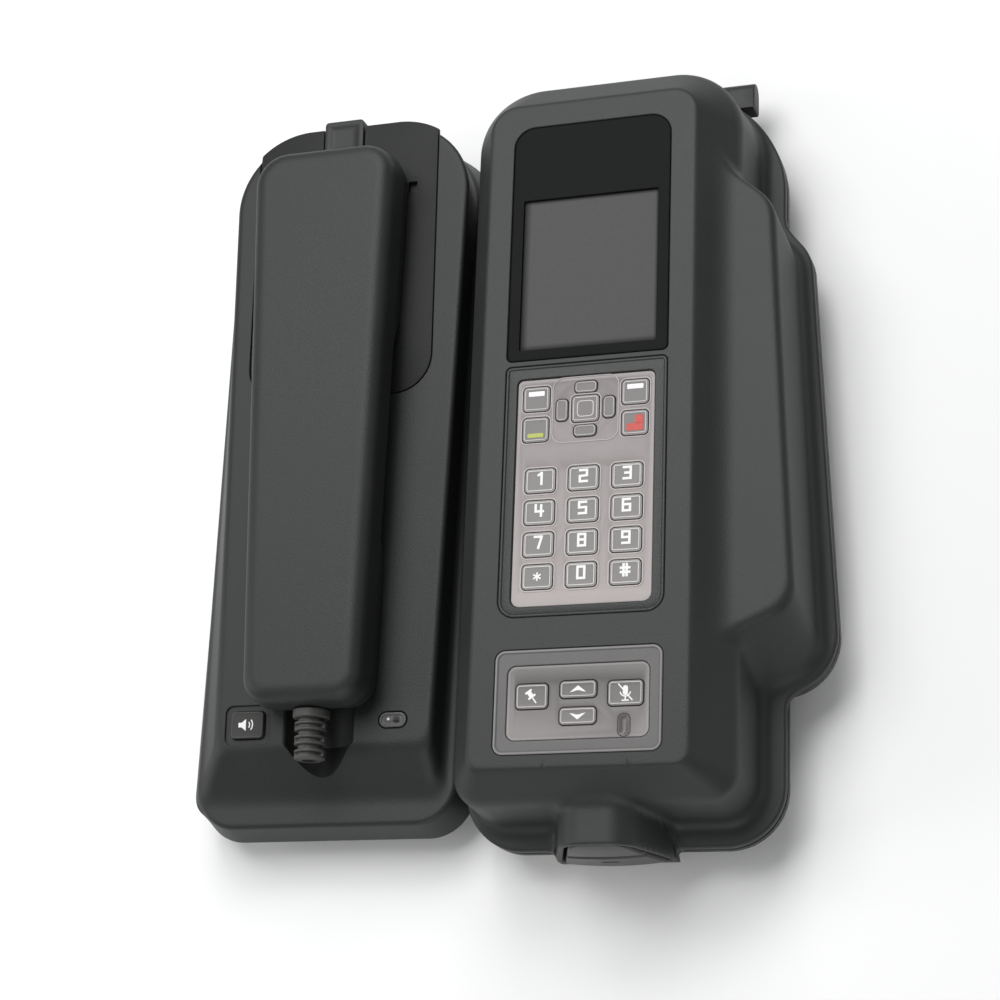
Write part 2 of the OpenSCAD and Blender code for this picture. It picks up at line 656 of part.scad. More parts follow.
module back_screws() color("silver") {
    at_plate_screws() back_screw(0.9, 5.5);
    at_cradle() for (x = [-1, 1]) for (y = [-1, 1])
        translate([x * cradle_screw_x, y * cradle_screw_y, 0]) back_screw(1.7, 18);
}

dock_base();
dock_lid();
lid_gasket();
hinge_pin();
latch_button();
latch_spring();
display_window();
keypad_frame();
keypad_membrane();
control_frame();
control_membrane();
sensor_lens();
phone_tray();
dock_connector();
main_board();
speaker();
io_sockets();
phone_front();
phone_back();
phone_display();
phone_keymat();
phone_antenna();
cradle_base();
cradle_top();
cradle_insert();
cradle_catch();
cradle_led();
speaker_key();
handset_back();
handset_front();
handset_earpiece();
handset_microphone();
handset_boot();
joining_plate();
back_screws();
for (n = [0:11]) number_key(n);
for (k = SIDE_KEYS) side_key(k);
for (k = PANEL_KEYS) panel_key(k);
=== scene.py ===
"""The looks of a satellite phone docking station with its privacy handset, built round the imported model."""
import math

import bmesh
import bpy
import numpy as np
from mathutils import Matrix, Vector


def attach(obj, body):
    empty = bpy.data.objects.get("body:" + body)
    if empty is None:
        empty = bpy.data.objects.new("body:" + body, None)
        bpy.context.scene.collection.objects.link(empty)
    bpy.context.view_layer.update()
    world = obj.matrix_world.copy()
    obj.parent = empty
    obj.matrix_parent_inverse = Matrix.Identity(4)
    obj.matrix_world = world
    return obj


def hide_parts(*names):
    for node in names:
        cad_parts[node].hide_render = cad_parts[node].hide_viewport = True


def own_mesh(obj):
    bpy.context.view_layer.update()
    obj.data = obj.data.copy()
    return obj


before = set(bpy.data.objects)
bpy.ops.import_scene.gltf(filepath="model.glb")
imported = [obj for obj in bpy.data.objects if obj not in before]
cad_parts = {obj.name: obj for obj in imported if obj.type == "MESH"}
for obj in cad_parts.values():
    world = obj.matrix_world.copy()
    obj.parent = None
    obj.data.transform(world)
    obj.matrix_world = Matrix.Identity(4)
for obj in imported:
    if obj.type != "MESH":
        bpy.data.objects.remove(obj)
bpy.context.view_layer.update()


# ---- The dock's base ----
# The lower half of the clamshell: a tray moulded in black glass-filled nylon, with a rim that
# the lid closes on. It is held to its bracket by four screws through the floor.

class Wire:
    """A socket among a material's nodes. Arithmetic with it, on either side, adds Math nodes."""

    def __init__(self, tree, socket):
        self.tree, self.socket = tree, socket

    def node(self, kind, settings=None, links=None, out=0):
        """Adds a node: its settings or its ramp's stops first, then its sockets' values or links."""
        made = self.tree.nodes.new(kind)
        for name, value in (settings or {}).items():
            if name == "stops":
                while len(made.color_ramp.elements) < len(value):
                    made.color_ramp.elements.new(0.5)
                for stop, (place, tint) in zip(made.color_ramp.elements, value):
                    stop.position, stop.color = place, (*tint, 1)
            else:
                setattr(made, name, value)
        for key, value in (links or {}).items():
            socket = made.inputs[key] if isinstance(key, int) else next(
                s for s in made.inputs if key in (s.identifier, s.name))
            if isinstance(value, Wire):
                self.tree.links.new(value.socket, socket)
            else:
                socket.default_value = value
        return Wire(self.tree, made.outputs[out])

    def sum_of(self, operation, a, b):
        return self.node("ShaderNodeMath", {"operation": operation}, {0: a, 1: b})

    def __add__(self, other):
        return self.sum_of("ADD", self, other)

    def __sub__(self, other):
        return self.sum_of("SUBTRACT", self, other)

    def __rsub__(self, other):
        return self.sum_of("SUBTRACT", other, self)

    def __mul__(self, other):
        return self.sum_of("MULTIPLY", self, other)

    def __pow__(self, other):
        return self.sum_of("POWER", self, other)

    __radd__, __rmul__ = __add__, __mul__

    def between(self, low, high):
        """0 where the value is below low, 1 above high, and a straight climb from one to the other."""
        return self.node("ShaderNodeMapRange", {"clamp": True},
                         {"Value": self, "From Min": low, "From Max": high})

    def tint(self, dark, light):
        """The colour dark where the value is 0 and light where it is 1. Either may be a Wire."""
        full = [c if isinstance(c, Wire) else (*c, 1) for c in (dark, light)]
        return self.node("ShaderNodeMix", {"data_type": "RGBA"},
                         {"Factor_Float": self, "A_Color": full[0], "B_Color": full[1]}, 2)


def tone(red, green, blue):
    """A colour given as 0 to 255 on a screen, as the linear numbers that a shader takes."""
    c = np.array([red, green, blue]) / 255
    return tuple(np.where(c <= 0.04045, c / 12.92, ((c + 0.055) / 1.055) ** 2.4))


def material(name, paint, **fixed):
    """A material: fixed are plain values of its shader, and paint turns the place on the piece, in
    metres, into what changes over the surface."""
    made = bpy.data.materials.new(name)
    made.use_nodes = True
    shader = made.node_tree.nodes["Principled BSDF"]
    for socket, value in fixed.items():
        shader.inputs[socket.replace("_", " ")].default_value = value
    at = Wire(made.node_tree, made.node_tree.nodes.new("ShaderNodeTexCoord").outputs["Object"])
    for socket, wire in paint(at).items():
        made.node_tree.links.new(wire.socket, shader.inputs[socket])
    return made


def speckle(at, scale, detail=2.0):
    """Noise in three dimensions, 0 to 1: scale counts its cells in a metre, and detail its octaves."""
    return at.node("ShaderNodeTexNoise", {}, {"Vector": at, "Scale": scale, "Detail": detail})


def moulded(name, colour, rough=0.5, grain=0.35, spread=0.2, size=1500, gloss=0.35, **fixed):
    """Moulded plastic or rubber: an eroded grain, slow clouds of shade, and a gloss that follows both."""
    def paint(at):
        cloud = speckle(at, 38.0, 5.0)
        fine = speckle(at, float(size), 3.0)
        pits = at.node("ShaderNodeTexVoronoi", {}, {"Vector": at, "Scale": size * 0.8})
        shade = cloud.between(0.35, 0.65) * 0.45 + fine.between(0.3, 0.7) * 0.55
        dark, light = (tuple(c * k for c in colour) for k in (1 - spread, 1 + spread))
        relief = at.node("ShaderNodeBump", {}, {"Strength": grain, "Distance": 0.00025,
                                                "Height": fine * 0.6 + pits * 0.5})
        return {"Base Color": shade.tint(dark, light), "Normal": relief,
                "Roughness": (rough - 0.07) + cloud * 0.08 + fine * 0.06}
    return material(name, paint, Specular_IOR_Level=gloss, **fixed)


def dress(node, finish):
    """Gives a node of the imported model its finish."""
    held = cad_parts[node].data.materials
    held.clear()
    held.append(finish)


base_nylon = moulded("base_nylon", tone(36, 37, 37), 0.5, 0.25, 0.15, 2600)
dress("dock_base", base_nylon)
dress("phone_tray", base_nylon)


# ---- The dock's lid ----
# The upper half, moulded in the same charcoal nylon with a finely eroded skin: a bevelled block
# with a swelling on its right side, standing on a flange that clips down over the base's seal.

def at_dock(p):
    """Points measured from the middle of the dock's front, in millimetres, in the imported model's metres."""
    return (np.asarray(p, float) + (36.55, 1.2, 0)) / 1000


def larger(a, b, k):
    """The larger of two distances, with the corner between them rounded off over a width of k."""
    h = np.maximum(k - np.abs(a - b), 0) / k
    return np.maximum(a, b) + h * h * k / 4


def smaller(a, b, k):
    """The smaller of two distances, with the hollow between them filled over a width of k."""
    return -larger(-a, -b, k)


def block(x, y, x0, x1, y0, y1, r_low, r_high):
    """Distance in plan to a rectangle: how far a point lies past its sides once they are drawn in by
    the corner's radius, less that radius. The corners at its low end and its high end differ."""
    r = np.where(y > (y0 + y1) / 2, r_high, r_low)
    dx = np.abs(x - (x0 + x1) / 2) - (x1 - x0) / 2 + r
    dy = np.abs(y - (y0 + y1) / 2) - (y1 - y0) / 2 + r
    return np.hypot(np.maximum(dx, 0), np.maximum(dy, 0)) + np.minimum(np.maximum(dx, dy), 0) - r


def pill(x, y, a, ra, b, rb):
    """Distance in plan to the outline drawn round two circles: to the nearer circle beyond its end,
    and to the straight line that touches both in between."""
    run = math.hypot(b[0] - a[0], b[1] - a[1])
    ux, uy = (b[0] - a[0]) / run, (b[1] - a[1]) / run
    along = (x - a[0]) * ux + (y - a[1]) * uy
    side = np.abs((x - a[0]) * uy - (y - a[1]) * ux)
    lean = (ra - rb) / run
    flat = math.sqrt(1 - lean * lean)
    k = flat * along - lean * side
    return np.where(k < 0, np.hypot(side, along) - ra,
                    np.where(k > flat * run, np.hypot(side, along - run) - rb,
                             side * flat + along * lean - ra))


def arch(x, z):
    """Distance to the latch housing's arched outline: the outline round a big and a small circle,
    with everything between it and the middle counted as inside."""
    x, z = np.abs(x - 3), np.maximum(z, 18)
    middle = np.interp(z, [18, 39], [17, 4])
    return pill(np.maximum(x, middle), z, (4, 39), 10, (17, 18), 4)


def lid_block(x, y, z):
    """Distance to the lid above its flange: sides with a little draft, a bevel and a flat front are
    the largest of three distances, and the swelling, of five planes, is joined to them softly."""
    t = np.maximum((z - 25) / 23, -0.3)
    side = block(x, y, -46.7 + 1.2 * t, 52.3 - 2 * t, -130.2 + 2 * t, 132.5 - 1.2 * t, 12 - 2 * t, 26 - 2 * t)
    s = np.maximum((z - 48) / 12, -1)
    bevel = block(x, y, -45.5 + 8.5 * s, 50.3 - 13.3 * s, -128.2 + 9.2 * s, 131.3 - 12.3 * s, 10 - 5 * s,
                  24 - 15 * s)
    body = larger(larger(side, bevel * 0.78, 1.8), z - 60, 0.9)
    up = np.maximum(z, 16) - 25
    bulge = larger(x * 0.9989 + y * 0.0468 - 68.3 + 0.083 * up, x * 0.653 + y * 0.757 - 94.4 - 0.176 * up, 5)
    bulge = larger(bulge, x * 0.402 - y * 0.915 - 99.9 + 0.432 * up, 8)
    bulge = larger(larger(bulge, z - 52.6, 3.0), 20 - x, 1)
    return smaller(body, bulge, 4)


def lid_outside(x, y, z):
    """Distance to the whole lid, solid right down: the block, its flange and the latch's housing."""
    rim = smaller(block(x, y, -49, 60.3, -138.5, 134.8, 20, 40), pill(x, y, (52, 62), 18, (57.6, -68), 20), 6)
    housing = larger(larger(arch(x, z), -141.6 - y, 1.0), y + 112, 1)
    return smaller(smaller(lid_block(x, y, z), larger(rim, z - 22, 1.1), 5), housing, 3)


def lid_inside(x, y, z):
    """Distance to the lid's hollow: 3 mm in from the block's sides, and 4.5 mm under its front."""
    return larger(lid_block(x, y, z) + 3, z - 55.5, 2)


def leave(shape, start, way, reach=240, halvings=28):
    """Where rays from start leave a shape, by halving the span between inside and outside."""
    near = np.zeros(way.shape[:-1])
    far = near + reach
    for _ in range(halvings):
        middle = (near + far) / 2
        p = start + way * middle[..., None]
        inside = shape(p[..., 0], p[..., 1], p[..., 2]) < 0
        near, far = np.where(inside, middle, near), np.where(inside, far, middle)
    return start + way * near[..., None]


def fan(x, y0, y1, z, side, end, crowd=0.0):
    """The starts and the level directions of columns that fan out round a line along Y. At the low
    end the columns crowd towards the middle: their even turn has crowd times a sine added to it."""
    y = np.concatenate([np.linspace(y0, y1, side, False), np.full(end, y1),
                        np.linspace(y1, y0, side, False), np.full(end, y0)])
    share = np.linspace(0, 1, end, False)
    low = np.pi * (1 + share + crowd * np.sin(2 * np.pi * share) / (2 * np.pi))
    turn = np.concatenate([np.zeros(side), np.linspace(0, np.pi, end, False),
                           np.full(side, np.pi), low])
    start = np.stack([np.full_like(y, x), y, np.full_like(y, z)], 1)
    return start, np.stack([np.cos(turn), np.sin(turn), np.zeros_like(y)], 1)


def dome(shape, start, out, edge, rows, up=1, bend=9.0, dense=420):
    """A grid over a shape: each column climbs from the height edge to the crown above its start. Rows
    are spaced by length along the column plus bend times the angle it has turned through, so that
    they gather on rounded edges. Returns columns by rows by 3."""
    level = start.copy()
    level[:, 2] = edge
    foot = leave(shape, level, out)
    low = np.arctan2(np.abs(level[:, 2] - start[:, 2]), np.linalg.norm((foot - level)[:, :2], axis=1))

    def climb(share):
        rise = low[:, None] + (np.pi / 2 - low[:, None]) * share
        way = np.cos(rise)[..., None] * out[:, None, :] + np.sin(rise)[..., None] * np.array([0, 0, up])
        return leave(shape, start[:, None, :], way)
    share = np.linspace(0, 1, dense)[None, :] + np.zeros((len(start), 1))
    step = np.diff(climb(share), axis=1)
    length = np.linalg.norm(step, axis=2)
    way = step / np.maximum(length, 1e-9)[..., None]
    turned = np.arccos(np.clip((way[:, 1:] * way[:, :-1]).sum(2), -1, 1))
    weight = length + bend * (np.pad(turned, ((0, 0), (1, 0))) + np.pad(turned, ((0, 0), (0, 1)))) / 2
    sums = np.concatenate([np.zeros((len(start), 1)), np.cumsum(weight, 1)], 1)
    sums /= sums[:, -1:]
    sums = sum(np.roll(sums, k, 0) for k in range(-2, 3)) / 5
    shelf = 2.0 * np.arange(len(start))[:, None]
    wanted = np.linspace(0, 1, rows)[None, :] + shelf
    picked = np.interp(wanted.ravel(), (sums + shelf).ravel(), share.ravel()).reshape(wanted.shape)
    picked[:, 0], picked[:, -1] = 0, 1
    return climb(picked)


def net(across, along, wrap_across=True, wrap_along=False):
    """The quads of a grid whose points are numbered across by along, wrapped where told."""
    i = np.arange(across if wrap_across else across - 1)[:, None]
    j = np.arange(along if wrap_along else along - 1)[None, :]
    n, m = (i + 1) % across, (j + 1) % along
    return np.stack([i * along + j, n * along + j, n * along + m, i * along + m], -1).reshape(-1, 4)


def mesh_of(name, points, faces, marks=None, sharp=32):
    """A closed mesh from points in metres. Points that meet are merged, its faces are turned
    outwards, and edges sharper than the angle stay crisp. marks is one number for each point."""
    mesh = bpy.data.meshes.new(name)
    mesh.from_pydata(np.asarray(points).reshape(-1, 3).tolist(), [], [list(f) for f in faces])
    if marks is not None:
        mark = mesh.attributes.new("mark", "FLOAT", "POINT")
        mark.data.foreach_set("value", np.asarray(marks, np.float32).ravel())
    return settle(mesh, sharp)


def settle(mesh, sharp=32):
    """Merges a mesh's meeting points, turns its faces outwards and marks its crisp edges."""
    work = bmesh.new()
    work.from_mesh(mesh)
    bmesh.ops.remove_doubles(work, verts=work.verts, dist=2e-7)
    bmesh.ops.dissolve_degenerate(work, edges=work.edges, dist=1e-7)
    bmesh.ops.recalc_face_normals(work, faces=work.faces)
    work.to_mesh(mesh)
    work.free()
    mesh.shade_smooth()
    mesh.set_sharp_from_angle(angle=math.radians(sharp))
    return mesh


def piece(name, mesh, finish, body, nodes=()):
    """Shows a mesh as a piece of one body, in place of the nodes that it stands for."""
    made = bpy.data.objects.new(name, mesh)
    bpy.context.scene.collection.objects.link(made)
    mesh.materials.clear()
    mesh.materials.append(finish)
    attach(made, body)
    if nodes:
        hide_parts(*nodes)
    return made


def ring(x0, x1, y0, y1, r_low, r_high, z, arc=9):
    """Points round a rectangle with round corners, each corner a quarter circle of arc steps."""
    turn = np.linspace(0, np.pi / 2, arc + 1)
    corners = [(x1 - r_low, y0 + r_low, r_low, -np.pi / 2), (x1 - r_high, y1 - r_high, r_high, 0),
               (x0 + r_high, y1 - r_high, r_high, np.pi / 2), (x0 + r_low, y0 + r_low, r_low, np.pi)]
    return np.concatenate([np.stack([cx + r * np.cos(turn + a), cy + r * np.sin(turn + a),
                                     np.full(arc + 1, float(z))], 1) for cx, cy, r, a in corners])


def loft(rings, loop=False):
    """The points and faces of a skin stretched over rings in order. It ends in flat faces, or runs
    back to its first ring as a frame does."""
    rings = np.asarray(rings, float)
    count, around = rings.shape[:2]
    faces = net(count, around, loop, True).tolist()
    if not loop:
        faces += [list(range(around)), list(range((count - 1) * around, count * around))[::-1]]
    return rings.reshape(-1, 3), faces


def stepped(outline, steps, arc=9):
    """Rings of one outline (x0, x1, y0, y1, low radius, high radius), each drawn in by the first
    number of a step and lying at the height that is its second."""
    x0, x1, y0, y1, lo, hi = outline
    return [ring(x0 + d, x1 - d, y0 + d, y1 - d, max(lo - d, 0.05), max(hi - d, 0.05), z, arc)
            for d, z in steps]


def around(shape, centre, inset, steps=144, reach=80):
    """Points in plan where rays from centre leave an outline drawn in by inset."""
    turn = np.linspace(0, 2 * np.pi, steps, False)
    way = np.stack([np.cos(turn), np.sin(turn), np.zeros(steps)], 1)
    start = np.array([*centre, 0.0]) + np.zeros((steps, 3))
    return leave(lambda x, y, z: shape(x, y) + inset, start, way, reach)[:, :2]


def cut(mesh, *cutters):
    """Takes cutters, as points in metres and faces, out of a closed mesh, one after another."""
    for points, faces in cutters:
        tool = bpy.data.objects.new("tool", mesh_of("tool", points, faces))
        work = bpy.data.objects.new("work", mesh)
        for o in (tool, work):
            bpy.context.scene.collection.objects.link(o)
        step = work.modifiers.new("cut", "BOOLEAN")
        step.operation, step.solver, step.object = "DIFFERENCE", "EXACT", tool
        bpy.context.view_layer.update()
        made = bpy.data.meshes.new_from_object(work.evaluated_get(bpy.context.evaluated_depsgraph_get()))
        for o in (tool, work):
            bpy.data.objects.remove(o)
        mesh = made
    return mesh


def gather(*parts):
    """Several sets of points and faces as one."""
    shift, points, faces = 0, [], []
    for p, f in parts:
        p = np.asarray(p, float).reshape(-1, 3)
        points.append(p)
        faces += [[i + shift for i in face] for face in f]
        shift += len(p)
    return np.concatenate(points), faces


# Outlines on the dock's front: x0, x1, y0, y1 and the radii of the low and the high corners.
PANE = (-28.3, 28.3, 22.0, 110.2, 2.0, 7.5)
PAD = (-28.3, 28.3, -68.4, 20.2, 6.0, 2.0)
PANEL = (-28.3, 28.3, -114.3, -79.3, 3.5, 3.5)
SKIN = (-24.0, 24.0, -64.8, 15.3, 3.0, 2.0)
STRIP = (-24.0, 24.0, -109.6, -84.6, 3.0, 3.0)
GLASS = (-26.0, 26.0, 24.5, 88.0, 1.0, 2.0)
FRONT = 60.02     # height of the lid's front
SEAT = 57.0       # height of the seats for the two skins
PANE_SEAT = 58.2  # height of the seat for the pane


def opening(seat, hole, depth):
    """A cutter for a part set into the front: a through hole, a seat, and a lip eased by 0.3 mm."""
    return loft(stepped(hole, [(0, 50), (0, depth)])
                + stepped(seat, [(0, depth), (0, FRONT - 0.3), (-0.12, FRONT - 0.1), (-0.32, FRONT),
                                 (-0.32, 63)]))


def pocket_outline(x, z):
    """Distance to the latch pocket's outline: the housing's arch drawn in, closed by a flat sill."""
    return larger(arch(x, z) + 2.2, 18 - z, 1.6)


def arch_rings(stations, shape=pocket_outline):
    """Rings of the latch's arched outline, each an inset at a place along Y."""
    out = []
    for inset, y in stations:
        plan = around(shape, (3.0, 31.0), inset)
        out.append(np.stack([plan[:, 0], np.full(len(plan), float(y)), plan[:, 1]], 1))
    return out


start, out = fan(3.0, -72.0, 74.0, -20.0, 118, 144, 0.55)
level = start.copy()
level[:, 2] = 19
foot = leave(lid_outside, level, out)
drop = np.where((np.abs(foot[:, 0] - 3) < 20.4) & (foot[:, 1] < -139.5), 14.0, 19.0)
skin = dome(lid_outside, start, out, drop, 112)
hollow = dome(lid_inside, start, out, 19.0, 34, dense=200)
lip = skin[:, 0] - out * 2.8
under = np.stack([lip, np.where([[0, 0, 1]], 19.0, lip)], 1)
column = np.concatenate([skin[:, ::-1], under, hollow], 1)
lid_mesh = mesh_of("lid_shell", at_dock(column), net(column.shape[0], column.shape[1]))
windows = gather(opening(PANE, GLASS, PANE_SEAT), opening(PAD, SKIN, SEAT), opening(PANEL, STRIP, SEAT),
                 loft(arch_rings([(0, -131.2), (0, -140.8), (-0.25, -141.35), (-0.6, -141.66),
                                  (-0.6, -146)])))
lid_mesh = cut(lid_mesh, (at_dock(windows[0]), windows[1]))
lid_nylon = moulded("lid_nylon", tone(39, 41, 40), 0.5, 0.3, 0.14, 2800)
piece("lid_shell", settle(lid_mesh, 17), lid_nylon, "lid", ["dock_lid"])


# ---- Hinge ----
# Two lugs of the lid turn between two lugs of the base on one steel pin. Each lug is moulded as a
# barrel on an arm, with eased ends.

def made_of(name, part, finish, body, nodes=(), at=at_dock, marks=None):
    """Shows one set of points and faces, measured in millimetres on its unit, as a piece."""
    points, faces = part
    return piece(name, mesh_of(name, at(points), faces, marks), finish, body, nodes)


def lug(x0, x1, y_arm, z_low, z_high, r=4.1):
    """A barrel of radius r round the pin, drawn out to its arm, and carried across X with ends that
    are eased over 0.5 mm. Its section is the barrel's far side and the arm's two corners."""
    of_lid = z_high > 20
    turn = np.linspace(-np.pi * 0.62 if of_lid else -np.pi / 2, np.pi / 2, 27 if of_lid else 25)
    y, z = 137 + r * np.cos(turn), 15 + r * np.sin(turn)
    if of_lid:
        y, z = np.append(y, [136.0, y_arm, y_arm]), np.append(z, [21.4, 21.6, z_low])
    else:
        y, z = np.append(y, [y_arm, y_arm]), np.append(z, [z_high, z_low])
    section = np.stack([y, z], 1)
    middle = section.mean(0)
    rings = []
    for x, shrink in [(x0, 0.9), (x0 + 0.15, 0.955), (x0 + 0.5, 1),
                      (x1 - 0.5, 1), (x1 - 0.15, 0.955), (x1, 0.9)]:
        s = middle + (section - middle) * shrink
        rings.append(np.stack([np.full(len(s), x), s[:, 0], s[:, 1]], 1))
    return loft(rings)


lid_lugs = gather(*[lug(x0, x0 + 18.6, 131.0, 18.2, 21.6) for x0 in (-21.3, 13.9)])
made_of("lid_lugs", lid_lugs, lid_nylon, "lid")
base_lugs = gather(*[lug(x0, x1, 130.5, 15 - 4.2, 15 + 4.2, 4.2)
                     for x0, x1 in ((-37.05, -21.6), (32.9, 48.35))])
made_of("base_lugs", base_lugs, base_nylon, "housing")
steel = material("steel", lambda at: {
    "Roughness": 0.2 + 0.25 * speckle(at, 900.0),
    "Base Color": speckle(at, 300.0, 3.0).tint(
        tone(150, 150, 152), tone(190, 190, 188))}, Metallic=1.0)
for node in ("hinge_pin", "back_screws"):
    dress(node, steel)
seal_rubber = moulded("seal_rubber", tone(24, 24, 25), 0.7, 0.3, 0.25)
dress("lid_gasket", seal_rubber)


# ---- Latch ----
# A sprung push button fills the arch in the lid's low end. It is moulded in one piece: a
# barrelled upper half to catch the thumb and a flat lower face with a short slot.

def button_face(p):
    """How far the button stands out at each point of its face: a barrel above the middle that rolls
    back under the arch, a fold, and an upright lower face with a slot 5 mm long."""
    x, z = p[:, 0] - 3, p[:, 2]
    barrel = -142.9 + 3.4 * (1 - np.sqrt(np.clip(1 - ((z - 34.0) / 13.6) ** 2, 0, 1))) + 0.003 * x * x
    flat = -143.5 + 0.012 * (z - 18) + 0.0035 * x * x
    blend = np.clip((z - 31.2) / 1.5, 0, 1)
    slot = 0.9 * np.clip(1.3 - np.abs(z - 26.4) / 0.8, 0, 1) * np.clip((3.0 - np.abs(x)) / 0.5, 0, 1)
    slot = slot + 0.55 * np.exp(-((z - 32.2) / 0.55) ** 2)
    moved = p.copy()
    moved[:, 1] += flat + (barrel - flat) * blend * blend * (3 - 2 * blend) + slot
    return moved


rim = arch_rings([(1.6, 0.0)])[0]
pole = np.array([3.0, 0.0, 31.0])
face_rings = [button_face(pole + (rim - pole) * k) for k in np.linspace(1.0, 0.02, 56)]
body_rings = arch_rings([(0.9, -134.0), (0.9, -137.0)])
edge_rings = []
for inset, back in [(0.9, 1.6), (0.98, 0.8), (1.15, 0.3), (1.35, 0.1)]:
    edge = button_face(arch_rings([(inset, 0.0)])[0])
    edge[:, 1] += back
    edge_rings.append(edge)
button = loft(body_rings + edge_rings + face_rings)
button_black = moulded("button_black", tone(50, 49, 50), 0.36, 0.25, 0.12, 2600)
made_of("latch_thumb_button", button, button_black, "latch", ["latch_button"])

coil = bmesh.new()
coil.from_mesh(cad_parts["latch_spring"].data)
bmesh.ops.remove_doubles(coil, verts=coil.verts, dist=1e-6)
coil_mesh = bpy.data.meshes.new("latch_coil")
coil.to_mesh(coil_mesh)
coil.free()
coil_mesh.shade_smooth()
coil_piece = piece("latch_coil", coil_mesh, steel, "lid", ["latch_spring"])
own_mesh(coil_piece)


# ---- Window and display ----
# A pane of black-printed acrylic is bonded into the lid's upper half. Its clear middle shows the
# phone's display, a matt grey panel with shade painted into its colour along the frame's edges.

SCREEN = (-24.0, 24.0, 26.0, 82.0, 0.6, 0.6)
pane = loft(stepped((-28.1, 28.1, 22.2, 110.0, 1.9, 7.3),
                    [(0.4, 58.25), (0, 58.5), (0, 59.55), (0.12, 59.75), (0.4, 59.85), (0.8, 59.85)])
            + stepped(SCREEN,
                      [(-0.8, 59.85), (-0.35, 59.85), (-0.1, 59.8), (0, 59.6), (0, 58.6), (-1, 58.4)]), True)
pane_black = moulded("pane_black", tone(18, 19, 19), 0.5, 0.2, 0.3, 1500, 0.06)
made_of("window_frame", pane, pane_black, "lid", ["display_window"])


def screen_paint(at):
    """Even grey, with painted shade falling to near black within 2 mm of the frame, most at the left and the
    low end.
    """
    x, y = (at.node("ShaderNodeSeparateXYZ", {}, {0: at}, out) for out in (0, 1))
    x0, x1, y0, y1 = (36.55 - 24) / 1000, (36.55 + 24) / 1000, (1.2 + 26) / 1000, (1.2 + 82) / 1000
    left, right = (x - x0).between(0.0, 0.0026), (x1 - x).between(0.0, 0.0012)
    low, high = (y - y0).between(0.0, 0.0022), (y1 - y).between(0.0, 0.0014)
    # painted shade: the grey falls towards near black along the frame's edges, as shade in the recess would
    outside_painted_shade = left * right * low * high
    speck = speckle(at, 700.0)
    grey = speck.tint(tone(76, 76, 76), tone(83, 83, 82))
    return {"Base Color": outside_painted_shade.tint(tone(28, 28, 29), grey), "Roughness": 0.5 + 0.1 * speck}


screen = loft(stepped((-24.9, 24.9, 25.1, 82.9, 0.5, 0.5),
                      [(0, 58.45), (0, 58.72), (0.2, 58.78), (0.6, 58.78)]))
screen_grey = material("screen_grey", screen_paint, Specular_IOR_Level=0.08)
made_of("screen_panel", screen, screen_grey, "lid")


# ---- Keypad ----
# A dark frame clips over a milky silicone skin that lies on the phone's own keys. Twelve number
# keys, with round-cornered outlines raised on them, stand in the skin's openings.

def marked(rings, marks, name, at, sharp=32, loop=False):
    """A loft in which each ring carries one mark for its material."""
    points, faces = loft(rings, loop)
    return mesh_of(name, at(points), faces, np.repeat(np.asarray(marks, float), np.asarray(rings).shape[1]),
                   sharp)


def framed(seat, hole, crown, low):
    """A frame's rings: up its outer side, over a beaded edge, down a slope and into its opening."""
    return (stepped(seat,
                    [(0.45, 57.9), (0.15, 57.95), (0.12, crown - 0.5), (0.22, crown - 0.18), (0.5, crown),
                           (0.95, crown), (1.25, crown - 0.2), (1.4, crown - 0.32)])
            + stepped(hole,
                      [(-0.75, low + 0.12), (-0.3, low + 0.1), (-0.08, low - 0.05), (0, low - 0.4), (0, 57.9),
                             (-1, 57.85)]))


pad_frame = framed(PAD, SKIN, 59.95, 59.78)
bezel_black = moulded("bezel_black", tone(40, 41, 41), 0.44, 0.4, 0.18, 2200)
piece("keypad_bezel", marked(pad_frame, np.zeros(len(pad_frame)), "keypad_bezel", at_dock, 25, True),
      bezel_black,
      "lid", ["keypad_frame"])

SKIN_TOP = 59.2    # top of the keypad's skin
KEY_TOP = 59.7     # top of the keys' raised outlines
NUMBER_KEYS = [(15.0 * (n % 3 - 1), -21.2 - 11.15 * (n // 3), 10.4, 8.4) for n in range(12)]
SIDE_KEYS = {"key_soft_left": (-17.2, 8.0, 9.2, 8.7), "key_call": (-17.2, -3.0, 9.0, 8.6),
             "key_soft_right": (17.2, 8.0, 9.2, 8.7), "key_end": (17.2, -3.0, 9.0, 8.6),
             "key_ok": (0, 3.4, 9.4, 9.4), "key_nav_up": (0, 11.2, 7.6, 4.0),
             "key_nav_down": (0, -4.4, 7.6, 4.0),
             "key_nav_left": (-8.2, 3.4, 4.0, 7.6), "key_nav_right": (8.2, 3.4, 4.0, 7.6)}


def outline_of(key, grow=0.0, round_by=1.5):
    """The outline of a key, widened by grow on every side."""
    x, y, w, l = key
    return (x - w / 2 - grow, x + w / 2 + grow, y - l / 2 - grow, y + l / 2 + grow, round_by, round_by)


def key_slot(key, top):
    """A cutter for one key's opening, with a lip eased by 0.15 mm."""
    return loft(stepped(outline_of(key, 0.33, 1.7),
                        [(0, 55), (0, top - 0.2), (-0.08, top - 0.06), (-0.22, top + 0.01),
                                                     (-0.22, top + 3)], 6))


